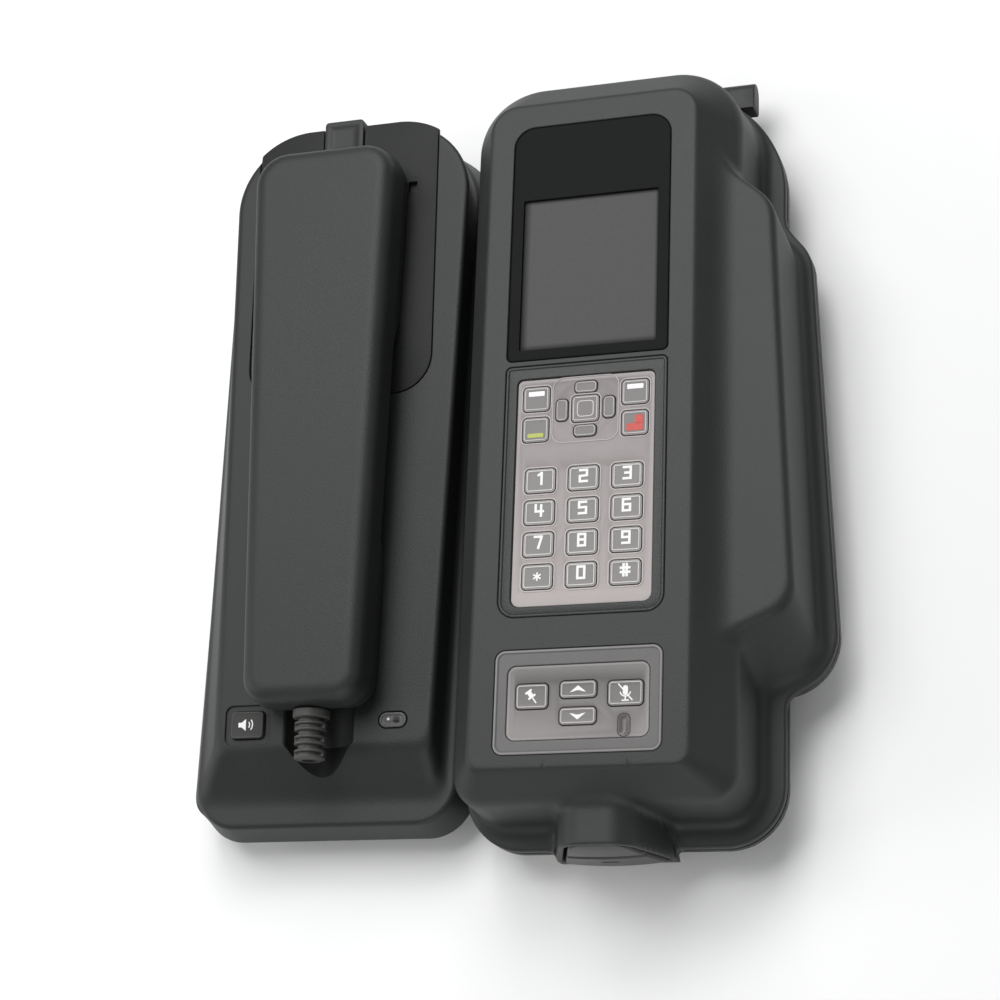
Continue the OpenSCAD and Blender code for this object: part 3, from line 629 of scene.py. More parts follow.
def silicone(name, colour, ridge_highlight, low=0.0, high=1.0, edge=None, **fixed):
    """Moulded silicone, milky and slightly mottled. Where the mark is 1, it shows a painted highlight, its
    brighter second colour, on the top of a raised line; the skin grows lighter from one height on the front
    to another."""
    def paint(at):
        y = at.node("ShaderNodeSeparateXYZ", {}, {0: at}, 1)
        line = at.node("ShaderNodeAttribute", {"attribute_name": "mark"}, {}, 2)
        cloud = speckle(at, 120.0, 4.0)
        fine = speckle(at, 1600.0)
        fall = y.between(low, high) if edge else cloud
        under = (fall * 0.8 + cloud * 0.2).tint(edge or tuple(c * 0.9 for c in colour), colour)
        bump = at.node("ShaderNodeBump", {}, {"Strength": 0.22, "Distance": 0.0002, "Height": fine})
        # painted highlight: where marked, the colour goes towards the bright ridge colour
        return {"Base Color": line.tint(under, ridge_highlight), "Normal": bump,
                "Roughness": 0.48 + 0.1 * fine}
    return material(name, paint, **fixed)


# The second colour of each silicone is its painted highlight on raised edges.
skin_milk = silicone("skin_milk", tone(158, 150, 149), tone(196, 190, 188), 0.020, -0.060,
                     tone(118, 112, 112),
                     Coat_Weight=0.15, Coat_Roughness=0.4)
skin_rings = (stepped((-27.9, 27.9, -68.0, 19.8, 5.6, 1.6), [(0.2, 57.02), (0, 57.1), (0, 57.75)])
              + stepped(SKIN, [(0.12, 57.8), (0.12, 59.0), (0.22, SKIN_TOP - 0.06), (0.45, SKIN_TOP),
                               (1.2, SKIN_TOP)]))
# marks 0.35 and 0.1 paint a highlight on the skin's eased lip
skin_mesh = marked(skin_rings, [0] * 5 + [0, 0.35, 0.1], "keypad_skin", at_dock)
slots = gather(*[key_slot(k, SKIN_TOP) for k in [*NUMBER_KEYS, *SIDE_KEYS.values()]])
skin_mesh = cut(skin_mesh, (at_dock(slots[0]), slots[1]))


def rim_round(outline, top, wide=0.55, high=0.22):
    """A low rounded rail round an opening, standing on the skin."""
    steps = [(-wide, top - 0.15), (-wide * 0.92, top + high * 0.45), (-wide * 0.6, top + high * 0.95),
             (-wide * 0.3, top + high), (0, top + high * 0.6), (0.02, top - 0.15)]
    return loft(stepped(outline, steps, 6), True)


piece("keypad_skin", settle(skin_mesh), skin_milk, "lid", ["keypad_membrane"])
rails = gather(*[rim_round(outline_of(k, 0.36, 1.7), SKIN_TOP) for k in NUMBER_KEYS],
               *[rim_round(outline_of(SIDE_KEYS[k], 0.36, 1.7), SKIN_TOP, 0.5, 0.2) for k in
                 ("key_soft_left", "key_call", "key_soft_right", "key_end", "key_ok")],
               rim_round((-11.25, 11.25, -8.0, 14.8, 3.4, 3.4), SKIN_TOP, 0.45, 0.25))
# mark 0.55 paints a highlight along the rails' tops
made_of("keypad_rails", rails, skin_milk, "lid", marks=np.full(len(rails[0]), 0.55))

# The second colour of each of these silicones is the painted highlight on the keys' raised outlines.
key_grey = silicone("key_grey", tone(122, 119, 118), tone(236, 233, 231), Coat_Weight=0.1, Coat_Roughness=0.4)
side_grey = silicone("side_grey", tone(112, 108, 108), tone(222, 218, 216), Coat_Weight=0.1,
                     Coat_Roughness=0.4)


def key_cap(name, key, top, finish, line=(0.6, 0.88), low=57.0, at=at_dock):
    """A key: a plain stem, a rounded shoulder, and a thin raised outline round a slightly dished top.
    line is how far in from its sides the outline starts and ends."""
    a, b = line
    rings = stepped(outline_of(key, 0, 1.4), [
        (0.15, low + 0.02), (0, low + 0.2), (0, top - 0.42), (0.1, top - 0.22), (a * 0.75, top - 0.16),
        (a, top - 0.12), (a + 0.08, top), (b - 0.08, top), (b, top - 0.12), (b + 0.25, top - 0.16),
        (b + 0.8, top - 0.22),
        (b + 1.0, top - 0.22)], 7)
    # marks: 1 paints a highlight on the raised outline's top, the smaller numbers a fainter painted highlight
    # on the shoulder and sides
    marks = [0, 0, 0, 0.25, 0.05, 0.15, 1, 1, 0.15, 0, 0, 0]
    return piece(name + "_cap", marked(rings, marks, name + "_cap", at), finish, name, [name])


KEY_NAMES = ["key_" + k for k in (*"123456789", "star", "0", "hash")]
for name, key in zip(KEY_NAMES, NUMBER_KEYS):
    key_cap(name, key, KEY_TOP, key_grey)
for name, key in SIDE_KEYS.items():
    key_cap(name, key, KEY_TOP, side_grey,
            (0.55, 0.82) if min(key[2:]) > 5 else (0.3, 0.52))


# ---- Markings on the keys ----
# Digits and plain signs, moulded in white and coloured resin: each stands about 0.1 mm proud of its key.

MARK_LOW = 59.45  # where the marks on the keypad's keys start, just under the middle of their tops
ink = material("ink", lambda at: {
    "Base Color": speckle(at, 2500.0).tint(
        tone(214, 214, 214), tone(238, 238, 238)),
    "Roughness": 0.45 + 0.15 * speckle(at, 900.0)})


def ink_of(name, dark, light):
    """Coloured ink, slightly uneven."""
    return material(name, lambda at: {
        "Base Color": speckle(at, 1400.0).tint(dark, light),
        "Roughness": 0.42 + 0.15 * speckle(at, 900.0)})


def film(outlines, z, step, thick=0.13):
    """Flat shapes, each an outline in plan, given a thickness upwards from z. Each starts a step
    higher than the one before, so that no two of their faces lie in one plane."""
    parts = []
    for outline in outlines:
        plan = np.asarray(outline, float)
        parts.append(loft([np.column_stack([plan, np.full(len(plan), h)]) for h in (z, z + thick)]))
        z += step
    return gather(*parts)


def mark_on(key, name, outlines, z, finish, step=0.0, at=at_dock):
    """Moulds flat shapes into the top of one key."""
    return made_of(name, film(outlines, z, step), finish, key, at=at)


def stroke(path, width):
    """The outline of a line of even width drawn along a path: its two sides, each half the width
    from the path at right angles to it."""
    p = np.asarray(path, float)
    way = np.gradient(p, axis=0)
    way /= np.linalg.norm(way, axis=1)[:, None]
    side = np.stack([-way[:, 1], way[:, 0]], 1) * width / 2
    return np.concatenate([p + side, (p - side)[::-1]])


def arc_of(cx, cy, r, a0, a1, steps=10):
    """Points on a circle from one angle to another, in degrees."""
    a = np.radians(np.linspace(a0, a1, steps))
    return np.stack([cx + r * np.cos(a), cy + r * np.sin(a)], 1)


SEGMENTS = {"1": [[(-0.3, 0.62), (0.25, 1), (0.25, -1)]],
            "2": [[(-0.62, 1), (0.62, 1), (0.62, 0.05), (-0.62, -0.05), (-0.62, -1), (0.66, -1)]],
            "3": [[(-0.62, 1), (0.62, 1), (0.62, -1), (-0.62, -1)], [(-0.35, 0), (0.5, 0)]],
            "4": [[(-0.62, 1), (-0.62, -0.18), (0.7, -0.18)], [(0.35, 0.9), (0.35, -1)]],
            "5": [[(0.62, 1), (-0.62, 1), (-0.62, 0.05), (0.62, 0.05), (0.62, -1), (-0.64, -1)]],
            "6": [[(0.6, 1), (-0.62, 1), (-0.62, -1), (0.62, -1), (0.62, 0.08), (-0.5, 0.08)]],
            "7": [[(-0.62, 1), (0.62, 1), (0.05, -1)]],
            "8": [[(-0.6, 1), (0.6, 1), (0.6, -1), (-0.6, -1), (-0.6, 0.98)], [(-0.5, 0.04), (0.5, 0.04)]],
            "9": [[(-0.6, -1), (0.62, -1), (0.62, 1), (-0.62, 1), (-0.62, 0), (0.5, 0)]],
            "0": [[(-0.6, 1), (0.6, 1), (0.6, -1), (-0.6, -1), (-0.6, 0.98)]],
            "#": [[(-0.28, 1), (-0.28, -1)], [(0.28, 1), (0.28, -1)], [(-0.75, 0.38), (0.75, 0.38)],
                  [(-0.75, -0.38), (0.75, -0.38)]],
            "*": [[(0, 0.75), (0, -0.75)], [(-0.65, 0.38), (0.65, -0.38)], [(-0.65, -0.38), (0.65, 0.38)]]}


def digit(sign, x, y, high, width):
    """A squared digit as strokes: each of its paths is cut into straight bars that overlap at corners."""
    bars = []
    for path in SEGMENTS[sign]:
        p = np.asarray(path, float) * high / 2
        for a, b in zip(p[:-1], p[1:]):
            run = (b - a) / np.linalg.norm(b - a) * width * 0.42
            bars.append(stroke([a - run + (x, y), b + run + (x, y)], width))
    return bars


for sign, name, key in zip("123456789*0#", KEY_NAMES, NUMBER_KEYS):
    up = 0.75 if sign != "*" else 0.1
    bars = digit(sign, key[0], key[1] + up, 3.9 if sign != "*" else 3.3, 0.84 if sign != "*" else 0.55)
    mark_on(name, name + "_mark", bars, MARK_LOW, ink, 0.004)


def oblong(x, y, w, l, r=0.3):
    """The outline of a small bar with round corners, in plan."""
    return ring(x - w / 2, x + w / 2, y - l / 2, y + l / 2, r, r, 0, 4)[:, :2]


lime = ink_of("lime", tone(150, 160, 70), tone(176, 186, 84))
red = ink_of("red", tone(170, 52, 44), tone(196, 66, 54))
for side in ("left", "right"):
    x, y, w, l = SIDE_KEYS["key_soft_" + side]
    mark_on("key_soft_" + side, "soft_bar_" + side, [oblong(x, y + 1.9, 5.6, 1.7)], MARK_LOW, ink)
x, y, w, l = SIDE_KEYS["key_call"]
mark_on("key_call", "call_bar", [oblong(x, y - 2.0, 5.6, 1.5)], MARK_LOW, lime)
x, y, w, l = SIDE_KEYS["key_end"]
end_shapes = [oblong(x, y - 1.5, 5.6, 2.6), oblong(x + 1.4, y + 1.2, 2.9, 3.0)]
mark_on("key_end", "end_bar", end_shapes, MARK_LOW, red)
x, y, w, l = SIDE_KEYS["key_ok"]
square = rim_round(outline_of((x, y, w, l), -2.1, 1.1), 59.42, 0.3, 0.16)
# mark 0.9 paints a highlight on the square's rail
made_of("ok_square", square, side_grey, "key_ok", marks=np.full(len(square[0]), 0.9))


# ---- Lower panel ----
# Four large keys for the handset under one grey rubber skin, in a beaded frame of its own, with a
# smoked lens over the light sensor at the right.

panel_frame = framed(PANEL, STRIP, 60.1, 59.62)
# The second colour is the painted highlight on the frame's bead.
panel_grey = silicone("panel_grey", tone(92, 90, 90), tone(132, 131, 129))
# painted highlight on the bead's crown and on the opening's edge
bead_highlight = [0, 0, 0, 0.5, 1, 0.3, 0, 0] + [0, 0.1, 0.3, 0, 0, 0]
piece("panel_bezel", marked(panel_frame, bead_highlight, "panel_bezel", at_dock, 25, True), panel_grey,
      "lid", ["control_frame"])
STRIP_TOP = 59.4       # top of the panel's skin
PANEL_KEY_TOP = 59.9   # top of its keys' raised outlines
PANEL_MARK_LOW = 59.66 # where the marks on its keys start
PANEL_KEYS = {"panel_key_lock": (-15.4, -95, 10.8, 8.2), "panel_key_up": (0.2, -93.2, 12.2, 5.6),
              "panel_key_mute": (16, -95, 11.6, 8.2), "panel_key_down": (0.2, -102, 12.2, 5.6)}
# The second colour is the painted highlight on the keys' raised outlines and the skin's lip.
rubber_grey = silicone("rubber_grey", tone(122, 118, 117), tone(196, 193, 190), -0.083, -0.105,
                       tone(84, 82, 81))
strip_rings = (stepped((-27.9, 27.9, -113.9, -79.7, 3.2, 3.2), [(0.2, 57.02), (0, 57.1), (0, 57.75)])
               + stepped(STRIP, [(0.12, 57.8), (0.12, 59.2), (0.25, STRIP_TOP - 0.05), (0.5, STRIP_TOP),
                                 (1.2, STRIP_TOP)]))
# marks 0.3 and 0.1 paint a highlight on the skin's eased lip
strip_mesh = marked(strip_rings, [0] * 5 + [0, 0.3, 0.1], "panel_skin", at_dock)
panel_slots = gather(*[key_slot(k, STRIP_TOP) for k in PANEL_KEYS.values()],
                     loft(stepped((13.5, 17.7, -109.2, -101.6, 2.0, 2.0),
                                  [(0, 55), (0, 59.1), (-0.2, 59.35), (-0.35, 59.41),
                                                                          (-0.35, 62)])))
strip_mesh = cut(strip_mesh, (at_dock(panel_slots[0]), panel_slots[1]))
piece("panel_skin", settle(strip_mesh), rubber_grey, "lid", ["control_membrane"])
for name, key in PANEL_KEYS.items():
    key_cap(name, key, PANEL_KEY_TOP, rubber_grey, (0.45, 0.8))

lens_smoke = moulded("lens_smoke", tone(92, 89, 89), 0.35, 0.08, 0.12, 1500, Coat_Weight=0.15)
lens_rings = stepped((13.6, 17.6, -109.1, -101.7, 1.95, 1.95),
                     [(0, 57.02), (0, 59.1), (0.15, 59.22), (0.45, 59.2),
                                                              (0.9, 58.9), (1.4, 58.75), (1.85, 58.7)])
made_of("sensor_glass", loft(lens_rings), lens_smoke, "lid", ["sensor_lens"])


def moved_to(outline, x, y, size=1.0, turn=0.0):
    """An outline made about the origin, sized, turned and put at a place."""
    a = math.radians(turn)
    p = np.asarray(outline, float) * size
    return np.stack([x + p[:, 0] * math.cos(a) - p[:, 1] * math.sin(a),
                     y + p[:, 0] * math.sin(a) + p[:, 1] * math.cos(a)], 1)


WEDGE = np.concatenate([[(-2.9, -1.0), (0, 1.3), (2.9, -1.0)], arc_of(0, -3.4, 3.0, 62, 118, 10)])
mark_on("panel_key_up", "up_mark", [moved_to(WEDGE, 0.2, -93.2, 0.95)], PANEL_MARK_LOW, ink)
mark_on("panel_key_down", "down_mark", [moved_to(WEDGE, 0.2, -102, 0.95, 180)], PANEL_MARK_LOW, ink)
pin = [moved_to(o, -15.4, -95.0, 1.0, 35) for o in (
    oblong(0, 1.9, 2.6, 0.7), oblong(0, 0.9, 1.5, 1.8, 0.2), oblong(0, -0.2, 2.9, 0.7),
    oblong(0, -1.6, 0.45, 2.4, 0.1))]
mark_on("panel_key_lock", "pin_mark", pin, PANEL_MARK_LOW, ink, 0.005)
mic = [oblong(16, -94.2, 1.7, 3.2, 0.8), stroke(arc_of(16, -94.4, 1.75, 190, 350, 12), 0.42),
       oblong(16, -96.9, 0.45, 1.2, 0.1), oblong(16, -97.5, 2.4, 0.45, 0.1),
       stroke([(13.6, -92.0), (18.4, -97.6)], 0.42)]
mark_on("panel_key_mute", "mic_mark", mic, PANEL_MARK_LOW, ink, 0.005)


# ---- Inside the dock ----
# A cast tray holds the phone face up behind the openings; the board, connector and speaker lie in
# the base. The phone's body is black plastic with rubber keys.

phone_black = moulded("phone_black", tone(40, 41, 43), 0.4, 0.3, 0.2)
for node in ("phone_front", "phone_back", "phone_antenna", "dock_connector", "speaker"):
    dress(node, phone_black)
dress("phone_keymat", moulded("keymat_black", tone(52, 52, 53), 0.6, 0.25, 0.2))
dress("phone_display", moulded("phone_screen_grey", tone(108, 108, 107), 0.25, 0.05, 0.05))


def board_paint(at):
    """Green lacquer over copper: pale tracks where a square pattern of 1.2 mm cells crosses a threshold."""
    cells = at.node("ShaderNodeTexVoronoi", {"distance": "CHEBYCHEV", "feature": "F1"},
                    {"Vector": at, "Scale": 700.0})
    fine = speckle(at, 500.0)
    return {"Base Color": cells.between(0.35, 0.45).tint(tone(24, 84, 48), tone(48, 118, 70)),
            "Roughness": 0.3 + 0.2 * fine,
            "Normal": at.node("ShaderNodeBump", {}, {"Strength": 0.3, "Distance": 0.0002, "Height": cells})}


dress("main_board", material("board_green", board_paint))
dress("io_sockets", material("brass", lambda at: {
    "Base Color": speckle(at, 400.0, 3.0).tint(
        tone(168, 132, 66), tone(212, 176, 104)),
    "Roughness": 0.22 + 0.2 * speckle(at, 1200.0)}, Metallic=1.0))
dress("joining_plate", material("plate_aluminium", lambda at: {
    "Base Color": speckle(at, 60.0, 6.0).tint(
        tone(168, 169, 170), tone(196, 197, 197)),
    "Roughness": 0.3 + 0.25 * speckle(at, 1500.0)}, Metallic=1.0))


# ---- The cradle ----
# A second box beside the dock, held to it by an aluminium plate on the back. Its upper half is one
# charcoal moulding: a sloping deck with soft sides that stand on a ledge and a flared foot.

TILT = math.radians(2.5)


def at_cradle(p):
    """Points measured from the middle of the cradle, in millimetres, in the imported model's metres."""
    return (np.asarray(p, float) + (-63.15, 1.2, 0)) / 1000


def on_deck(p):
    """Points measured on the cradle's sloping deck, turned by its 2.5 degrees and put in metres."""
    p = np.asarray(p, float)
    c, s = math.cos(TILT), math.sin(TILT)
    return at_cradle(np.stack([p[..., 0], p[..., 1] * c - p[..., 2] * s,
                               39.5 + p[..., 1] * s + p[..., 2] * c], -1))


def cradle_outside(x, y, z):
    """Distance to the cradle's upper half, solid right down: sides whose outline changes evenly from
    the ledge up to the deck, capped by the deck's plane, joined softly to the flared foot."""
    c, s = math.cos(TILT), math.sin(TILT)
    over = (z - 39.5) * c - y * s
    t = np.clip((z - 24) / (15.5 + y * 0.0437), -0.3, 1.2)
    left, right, r = -18.5 + 5.5 * t, 16.5 + 4.5 * t, 29.5 - 1.5 * t
    crown = np.hypot(np.maximum(np.maximum(left - x, x - right), 0), y - 98) - r
    low = -118 + 13.6 * t
    share = np.clip((98 - y) / (98 - low), 0, 1)
    west = (left - r) * (1 - share) + (-48 + 9.7 * t) * share
    east = (right + r) * (1 - share) + (42 - t) * share
    sides = larger(larger(west - x, x - east, 0.1), (low - y) * 0.75, 5)
    deck = larger(np.where(y > 98, crown, sides), over, 2.2)
    u = np.clip((24 - z) / 12, -0.2, 1.2)
    foot = block(x, y, -48.5 - 2.5 * u, 46.5 + 3.7 * u, -128.7 - 2.8 * u, 128 + 1.5 * u, 14 + 2 * u,
                 28 + 2 * u)
    return smaller(deck, larger(foot, z - 24, 1.6), 3.2)


def cradle_inside(x, y, z):
    """Distance to the hollow under the deck, a wall's thickness in and well clear of the wells."""
    return larger(cradle_outside(x, y, z) + 3, z - 22, 1)


def trough():
    """A cutter for the cord's trough: sections across Y, each a round bottom of radius r whose sides
    turn outwards at the deck in a fillet of 1.4 mm. The radius is 12.5, then shrinks to a rounded tip."""
    y = np.concatenate([[-84.0, -84.3], np.linspace(-86, -102, 9), np.linspace(-103, -114, 12),
                        -114 - 5 * np.sin(np.linspace(0.12, 1.45, 12))])
    r = np.where(y > -102, 12.5, np.interp(-y, [102, 114], [12.5, 5.0]))
    r = np.where(y < -114, np.sqrt(np.maximum(25 - (y + 114) ** 2, 0.2)), r)
    middle = np.interp(-y, [102, 114], [1.5, -1.0])
    rings = []
    for yy, rr, zc in zip(y, r, middle):
        a0 = math.asin(max(-0.95, min(0.95, (-1.0 - zc) / rr)))
        turn = np.linspace(a0, -math.pi - a0, 41)
        x, z = rr * np.cos(turn), zc + rr * np.sin(turn)
        edge = abs(x[0])
        f = np.linspace(0, np.pi / 2, 6)[1:]
        fx, fz = edge + 1.4 * (1 - np.cos(f)), z[0] + (0.06 - z[0]) * np.sin(f)
        fx, fz = np.append(fx, edge + 1.4), np.append(fz, 6.0)
        x = np.concatenate([fx[::-1], x, -fx])
        z = np.concatenate([fz[::-1], z, fz])
        rings.append(np.stack([x, np.full(len(x), yy), z], 1))
    return loft(rings)


def well(outline, floor, ease=0.35, arc=9):
    """A cutter for a recess in the deck, with its lip eased."""
    return loft(stepped(outline,
                        [(0, floor), (0, -ease), (-ease * 0.3, -ease * 0.3), (-ease, 0.02), (-ease, 6)], arc))


start, out = fan(-1.0, -88.0, 92.0, -22.0, 132, 120)
skin = dome(cradle_outside, start, out, 12.0, 84)
hollow = dome(cradle_inside, start, out, 12.0, 26, dense=200)
column = np.concatenate([skin[:, ::-1], hollow], 1)
cradle_mesh = mesh_of("cradle_shell", at_cradle(column), net(column.shape[0], column.shape[1]))
wells = gather(well((-17.5, 17.5, -84.5, -55.5, 4, 4), -5),
               well((-34.9, -17.9, -101.9, -88.1, 2.6, 2.6), -0.8, 0.3),
               well((-33.2, 37.1, 22.2, 140, 14, 1), -2.2, 0.3),
               loft(stepped((22.0, 32.4, -97.9, -92.1, 2.85, 2.85),
                            [(0, -3), (0, -0.3), (-0.15, -0.1), (-0.3, 0.02),
                                                                     (-0.3, 5)])))
keyway = well((-32.7, -20.1, -99.9, -90.1, 2.0, 2.0), -6, 0.3)
keyway = (keyway[0] - (0, 0, 0.8), keyway[1])
tab_way = well((-8, 8, 112.5, 140, 1, 1), -4.3, 0.2)
cradle_mesh = cut(cradle_mesh,
                  *[(on_deck(points), faces) for points, faces in (trough(), wells, gather(keyway, tab_way))])
cradle_nylon = moulded("cradle_nylon", tone(34, 36, 35), 0.5, 0.3, 0.14, 2800)
piece("cradle_shell", settle(cradle_mesh, 17), cradle_nylon, "housing", ["cradle_top"])
dress("cradle_base", base_nylon)


# ---- Insert, catch, light and speaker key ----
# A soft-feel insert with the well for the handset's ear end is pressed into the deck. Behind it a
# sprung catch shows as a tab; at the low end sit a rubber speaker key and a smoked status light.

def insert_outline(x, y):
    """Distance to the insert: a rectangle with round low corners, cut by the deck's arched end."""
    end = np.hypot(np.maximum(np.maximum(-13 - x, x - 21), 0), np.maximum(y - 98, 0)) - 29.4
    return np.maximum(block(x, y, -32.9, 36.8, 22.5, 140, 14, 1), end)


def insert_ring(inset, z, steps=200):
    """A ring of the insert's outline at a height."""
    plan = around(insert_outline, (2.0, 78.0), inset, steps)
    return np.column_stack([plan, np.full(steps, z)])


def circle(cx, cy, r, z, steps=200):
    """A ring of a circle, its points at the same directions as the insert's."""
    a = np.linspace(0, 2 * np.pi, steps, False)
    return np.stack([cx + r * np.cos(a), cy + r * np.sin(a), np.full(steps, float(z))], 1)


insert = loft([insert_ring(0.1, -2.15), insert_ring(0, -2.0), insert_ring(0, -0.5), insert_ring(0.15, -0.22),
               insert_ring(0.5, -0.1), circle(1, 78, 21.5, -0.1), circle(0.6, 78, 20.2, -0.14),
               circle(0.2, 78, 19.4, -0.7), circle(0, 78, 19.2, -1.6), circle(0, 78, 19.0, -5.4),
               circle(0, 78, 18.0, -6.0), circle(0, 78, 8.0, -6.1)])
insert_mesh = mesh_of("cradle_pad", on_deck(insert[0]), insert[1])
notch = gather(loft(stepped((-8.2, 8.2, 112.6, 140, 1, 1), [(0, -6), (0, 3)])),
               loft(stepped((25.9, 29.3, 98.7, 102.9, 0.5, 0.5), [(0, -6), (0, 3)])))
insert_mesh = cut(insert_mesh, (on_deck(notch[0]), notch[1]))
soft_black = moulded("soft_black", tone(20, 21, 21), 0.62, 0.25, 0.15, 2400)
piece("cradle_pad", settle(insert_mesh), soft_black, "housing", ["cradle_insert"])

tab = gather(loft(stepped((-7.6, 7.6, 115.9, 130, 1, 1.5),
                          [(0.3, -3.95), (0, -3.6), (0, 0.1), (0.12, 0.4), (0.5, 0.55),
                                                           (2.2, 0.5), (2.6, 0.25), (4.5, 0.2)])),
             loft(stepped((-5, 5, 113.0, 117.0, 0.8, 0.8),
                          [(0.2, -3.9), (0, -3.7), (0, 1.9), (0.3, 2.4), (1.0, 2.6)])))
made_of("catch_tab", tab, base_nylon, "catch", ["cradle_catch"], on_deck)

light = stepped((22.35, 32.05, -97.55, -92.45, 2.5, 2.5),
                [(0, -3.8), (0, 0.0), (0.15, 0.18), (0.45, 0.25), (0.75, 0.2),
                                                          (0.9, 0.0), (1.2, -0.1), (1.8, 0.02), (2.3, 0.06)])


def light_paint(at):
    """Smoked lens: a dark spot over the diode, and a painted highlight, a white pinpoint, beside it."""
    def spot(x, y, near, far):
        where = tuple(on_deck([x, y, 0.06]))
        d = at.node("ShaderNodeVectorMath", {"operation": "DISTANCE"}, {0: at, 1: where}, 1)
        return 1 - d.between(near, far)
    fine = speckle(at, 900.0)
    shade = spot(28.6, -95.0, 0.0008, 0.0017).tint(fine.tint(tone(72, 73, 72), tone(90, 91, 90)),
                                                   tone(18, 18, 19))
    # painted highlight: a white pinpoint on the lens
    return {"Base Color": spot(25.6, -94.7, 0.00025, 0.0006).tint(shade, tone(215, 215, 210)),
            "Roughness": 0.2 + 0.1 * fine}


smoked_lens = material("smoked_lens", light_paint, Specular_IOR_Level=0.15)
made_of("status_light", loft(light), smoked_lens, "housing", ["cradle_led"], on_deck)
# The second colour is the painted highlight on the key's raised outline.
speaker_grey = silicone("speaker_grey", tone(58, 59, 57), tone(104, 104, 101), Specular_IOR_Level=0.2)
key_cap("speaker_key", (-26.4, -95, 12, 9.3), 0.85, speaker_grey, (0.3, 0.5), -3.9, on_deck)
horn = [moved_to([(-2.6, -0.8), (-1.4, -0.8), (0.2, -2.1), (0.2, 2.1), (-1.4, 0.8), (-2.6, 0.8)], -27.0, -95),
        stroke(arc_of(-27.0, -95, 1.6, -38, 38, 8), 0.42), stroke(arc_of(-27.0, -95, 2.7, -40, 40, 10), 0.42)]
mark_on("speaker_key", "horn_mark", horn, 0.61, ink, 0.003, on_deck)


# ---- The handset ----
# Two charcoal shells close on a fine seam half way down their sides: a plain back, and a front
# hollowed between its ear and mouth ends. They hold the earpiece and the microphone.

def handset_plan(x, y):
    """Distance in plan to the handset: the outline round a circle at each of its four corners."""
    x = np.abs(x)
    middle = np.interp(y, [-81.7, 99.3], [12.5, 14.5])
    return pill(np.maximum(x, middle), y, (12.5, -81.7), 9.5, (14.5, 99.3), 12.5)


def handset_upper(x, y, z):
    """Distance to the back shell: the outline drawn in evenly with height under a flat top, whose
    edge is rounded by about 3 mm."""
    side = handset_plan(x, y) - 0.6 + (z - 9) * 0.12
    return larger(side, z - 20, 5.5)


def handset_lower(x, y, z):
    """Distance to the front shell: its underside lies low at both ends and climbs 45 to 60 degrees
    into the hollow of the grip."""
    side = handset_plan(x, y) - 0.6 + (9 - z) * 0.14
    floor = np.interp(y, [-40, -33.5, 38, 49], [0.6, 7.0, 7.0, 0.6])
    return larger(side, floor - z, 2.4)


start, out = fan(0.0, -80.0, 98.0, 9.0, 120, 72)
start[:, 2] = 9.12
upper = dome(handset_upper, start, out, 9.12, 44, bend=12)
lower_start = start.copy()
lower_start[:, 2] = 8.95
lower = dome(handset_lower, lower_start, out, 8.95, 40, up=-1, bend=8)


def with_seam(grid, base, turn):
    """Draws a shell's edge in by 0.35 mm at the seam and closes it with one face."""
    first = grid[:, :1] - turn[:, None, :] * 0.35
    rows = np.concatenate([first, grid], 1)
    faces = net(rows.shape[0], rows.shape[1]).tolist() + [(np.arange(rows.shape[0]) * rows.shape[1]).tolist()]
    return rows, faces


handset_nylon = moulded("handset_nylon", tone(36, 38, 37), 0.5, 0.3, 0.14, 2800)
rows, faces = with_seam(upper, 9.12, out)
made_of("handset_shell", (rows, faces), handset_nylon, "handset", ["handset_back"], on_deck)
rows, faces = with_seam(lower, 8.95, out)
made_of("handset_grip", (rows, faces), handset_nylon, "handset", ["handset_front"],
        on_deck)
grille_black = moulded("grille_black", tone(26, 27, 27), 0.55, 0.3, 0.2)
for node in ("handset_earpiece", "handset_microphone"):
    dress(node, grille_black)


# ---- The boot ----
# A rubber strain relief leaves the mouth end: a collar, then three ribs, each cut by pairs of slots
# so that the boot can bend. The cord would pass through its bore.

def boot():
    """A turned skin: its radius depends on the distance along it, and each rib is cut away down to
    the core where a slot's window in angle and in distance overlap. Its bore is the same grid back."""
    s = np.linspace(0, 23.3, 150)
    core = np.interp(s, [0, 5.6, 5.75, 6.0, 8.5, 8.75, 8.95, 23.1, 23.3],
                     [3.9, 4.0, 6.0, 6.35, 6.35, 6.0, 4.3, 4.1, 3.9])
    a = np.linspace(0, 2 * np.pi, 96, False)[:, None]
    radius = np.repeat(core[None, :], 96, 0)
    for i in range(3):
        s0, s1 = 10 + 4.8 * i, 13.4 + 4.8 * i
        rise = np.clip((s - s0) / 0.45, 0, 1) * np.clip((s1 - s) / 0.45, 0, 1)
        rise = np.sqrt(1 - (1 - rise) ** 2)
        slot_s = np.clip((0.75 - np.abs(s - (s0 + s1) / 2)) / 0.3, 0, 1)
        slot_a = np.clip((np.abs(np.sin(a)) * 1.0 - 0.22) / 0.06, 0, 1)
        rib = (5.6 - 0.1 * i - core) * rise * (1 - slot_s * slot_a * 0.85)
        radius = radius + np.maximum(rib, 0)
    bore = np.full((96, 2), 2.65)
    radius = np.concatenate([radius, bore], 1)
    along = np.concatenate([s, [23.3, 0.0]])
    return np.stack([radius * np.cos(a), -86.2 - along[None, :] + 0 * a, 6.4 + radius * np.sin(a)], -1)


boot_grid = boot()
boot_rubber = moulded("boot_rubber", tone(70, 70, 68), 0.5, 0.25, 0.2, 1400)
piece("cord_boot", mesh_of("cord_boot", on_deck(boot_grid),
                           net(boot_grid.shape[0], boot_grid.shape[1], True, True), None, 40),
      boot_rubber, "handset", ["handset_boot"])


# ---- Floor, light and camera ----
# The two units lie on their backs on a pale table under wide, soft lamps.

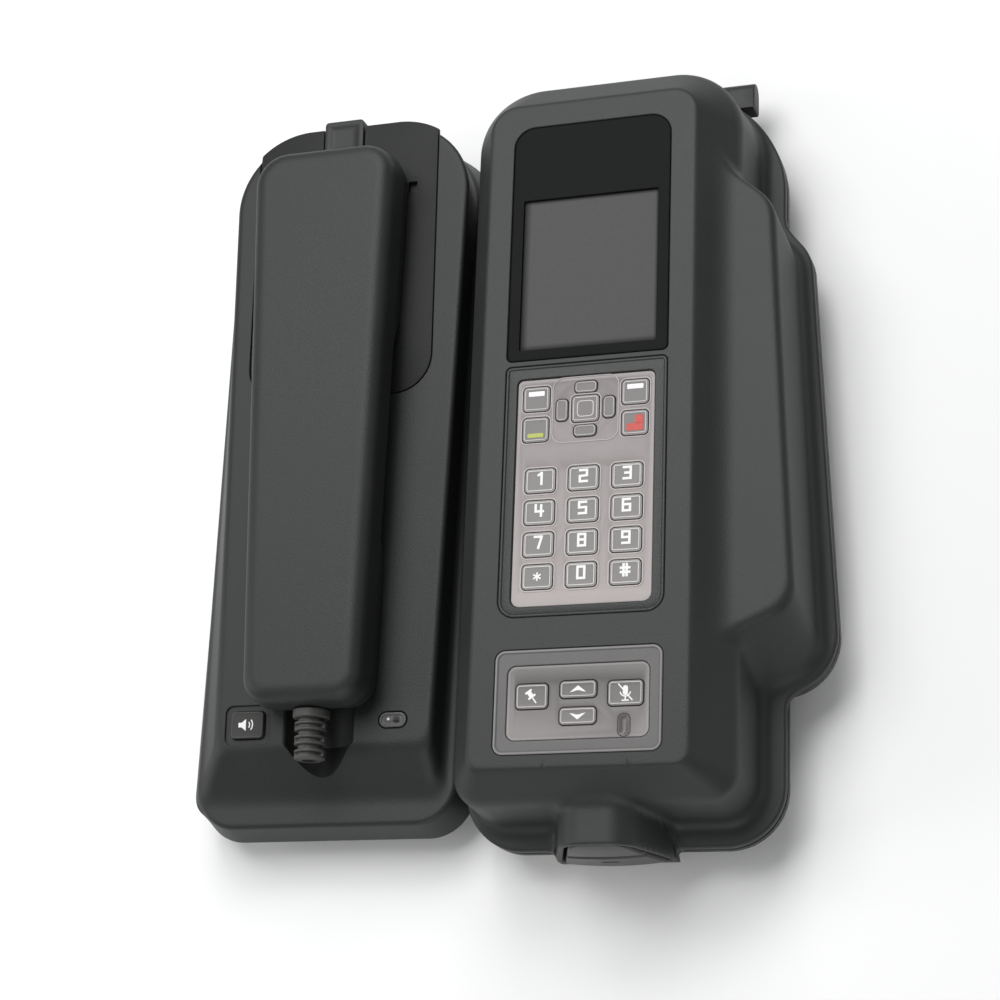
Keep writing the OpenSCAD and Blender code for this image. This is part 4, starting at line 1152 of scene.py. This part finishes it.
table = bpy.data.meshes.new("table")
table.from_pydata([(-6, -6, 0), (6, -6, 0), (6, 6, 0), (-6, 6, 0)], [], [(0, 1, 2, 3)])
table_top = bpy.data.objects.new("table", table)
bpy.context.scene.collection.objects.link(table_top)
table.materials.append(material("table_white", lambda at: {
    "Base Color": speckle(at, 3.0).tint((0.86, 0.86, 0.86), (0.9, 0.9, 0.9))},
    Roughness=0.8))

world = bpy.data.worlds.new("room")
bpy.context.scene.world = world
world.use_nodes = True
world.node_tree.nodes["Background"].inputs["Color"].default_value = (0.95, 0.97, 1.0, 1)
world.node_tree.nodes["Background"].inputs["Strength"].default_value = 0.2
bpy.context.scene.view_settings.view_transform = "Standard"


def lamp(name, place, aim, size, power, colour=(1, 1, 1)):
    """A square lamp at a place, in metres, turned towards a point."""
    data = bpy.data.lights.new(name, "AREA")
    data.shape, data.size, data.energy, data.color = "SQUARE", size, power, colour
    made = bpy.data.objects.new(name, data)
    bpy.context.scene.collection.objects.link(made)
    toward = Vector(aim) - Vector(place)
    made.location = place
    made.rotation_euler = toward.to_track_quat("-Z", "Y").to_euler()


lamp("roof_lamp", (-0.3, 0.45, 1.3), (0, 0, 0.03), 0.9, 13)
lamp("window_lamp", (0.1, 1.1, 1.15), (0, 0, 0.03), 0.8, 10)
lamp("right_lamp", (1.25, -0.1, 0.45), (0, 0, 0.03), 0.6, 1.0, (1.0, 0.97, 0.92))
lamp("left_lamp", (-1.2, -0.2, 0.6), (0, 0, 0.03), 0.6, 5)
lamp("low_lamp", (0.1, -1.25, 0.6), (0, 0, 0.03), 0.8, 5)

camera = bpy.data.objects.new("camera", bpy.data.cameras.new("camera"))
bpy.context.scene.collection.objects.link(camera)
camera.data.sensor_width, camera.data.lens = 36, 86.21
camera.data.clip_start, camera.data.clip_end = 0.01, 50
right, up, back = (0.95049, 0.03665, -0.30857), (0.06412, 0.94852, 0.31017), (0.30406, -0.31460, 0.89921)
turn = Matrix((right, up, back)).transposed().to_4x4()
turn.translation = (0.25110, -0.27768, 0.77937)
camera.matrix_world = turn
bpy.context.scene.camera = camera
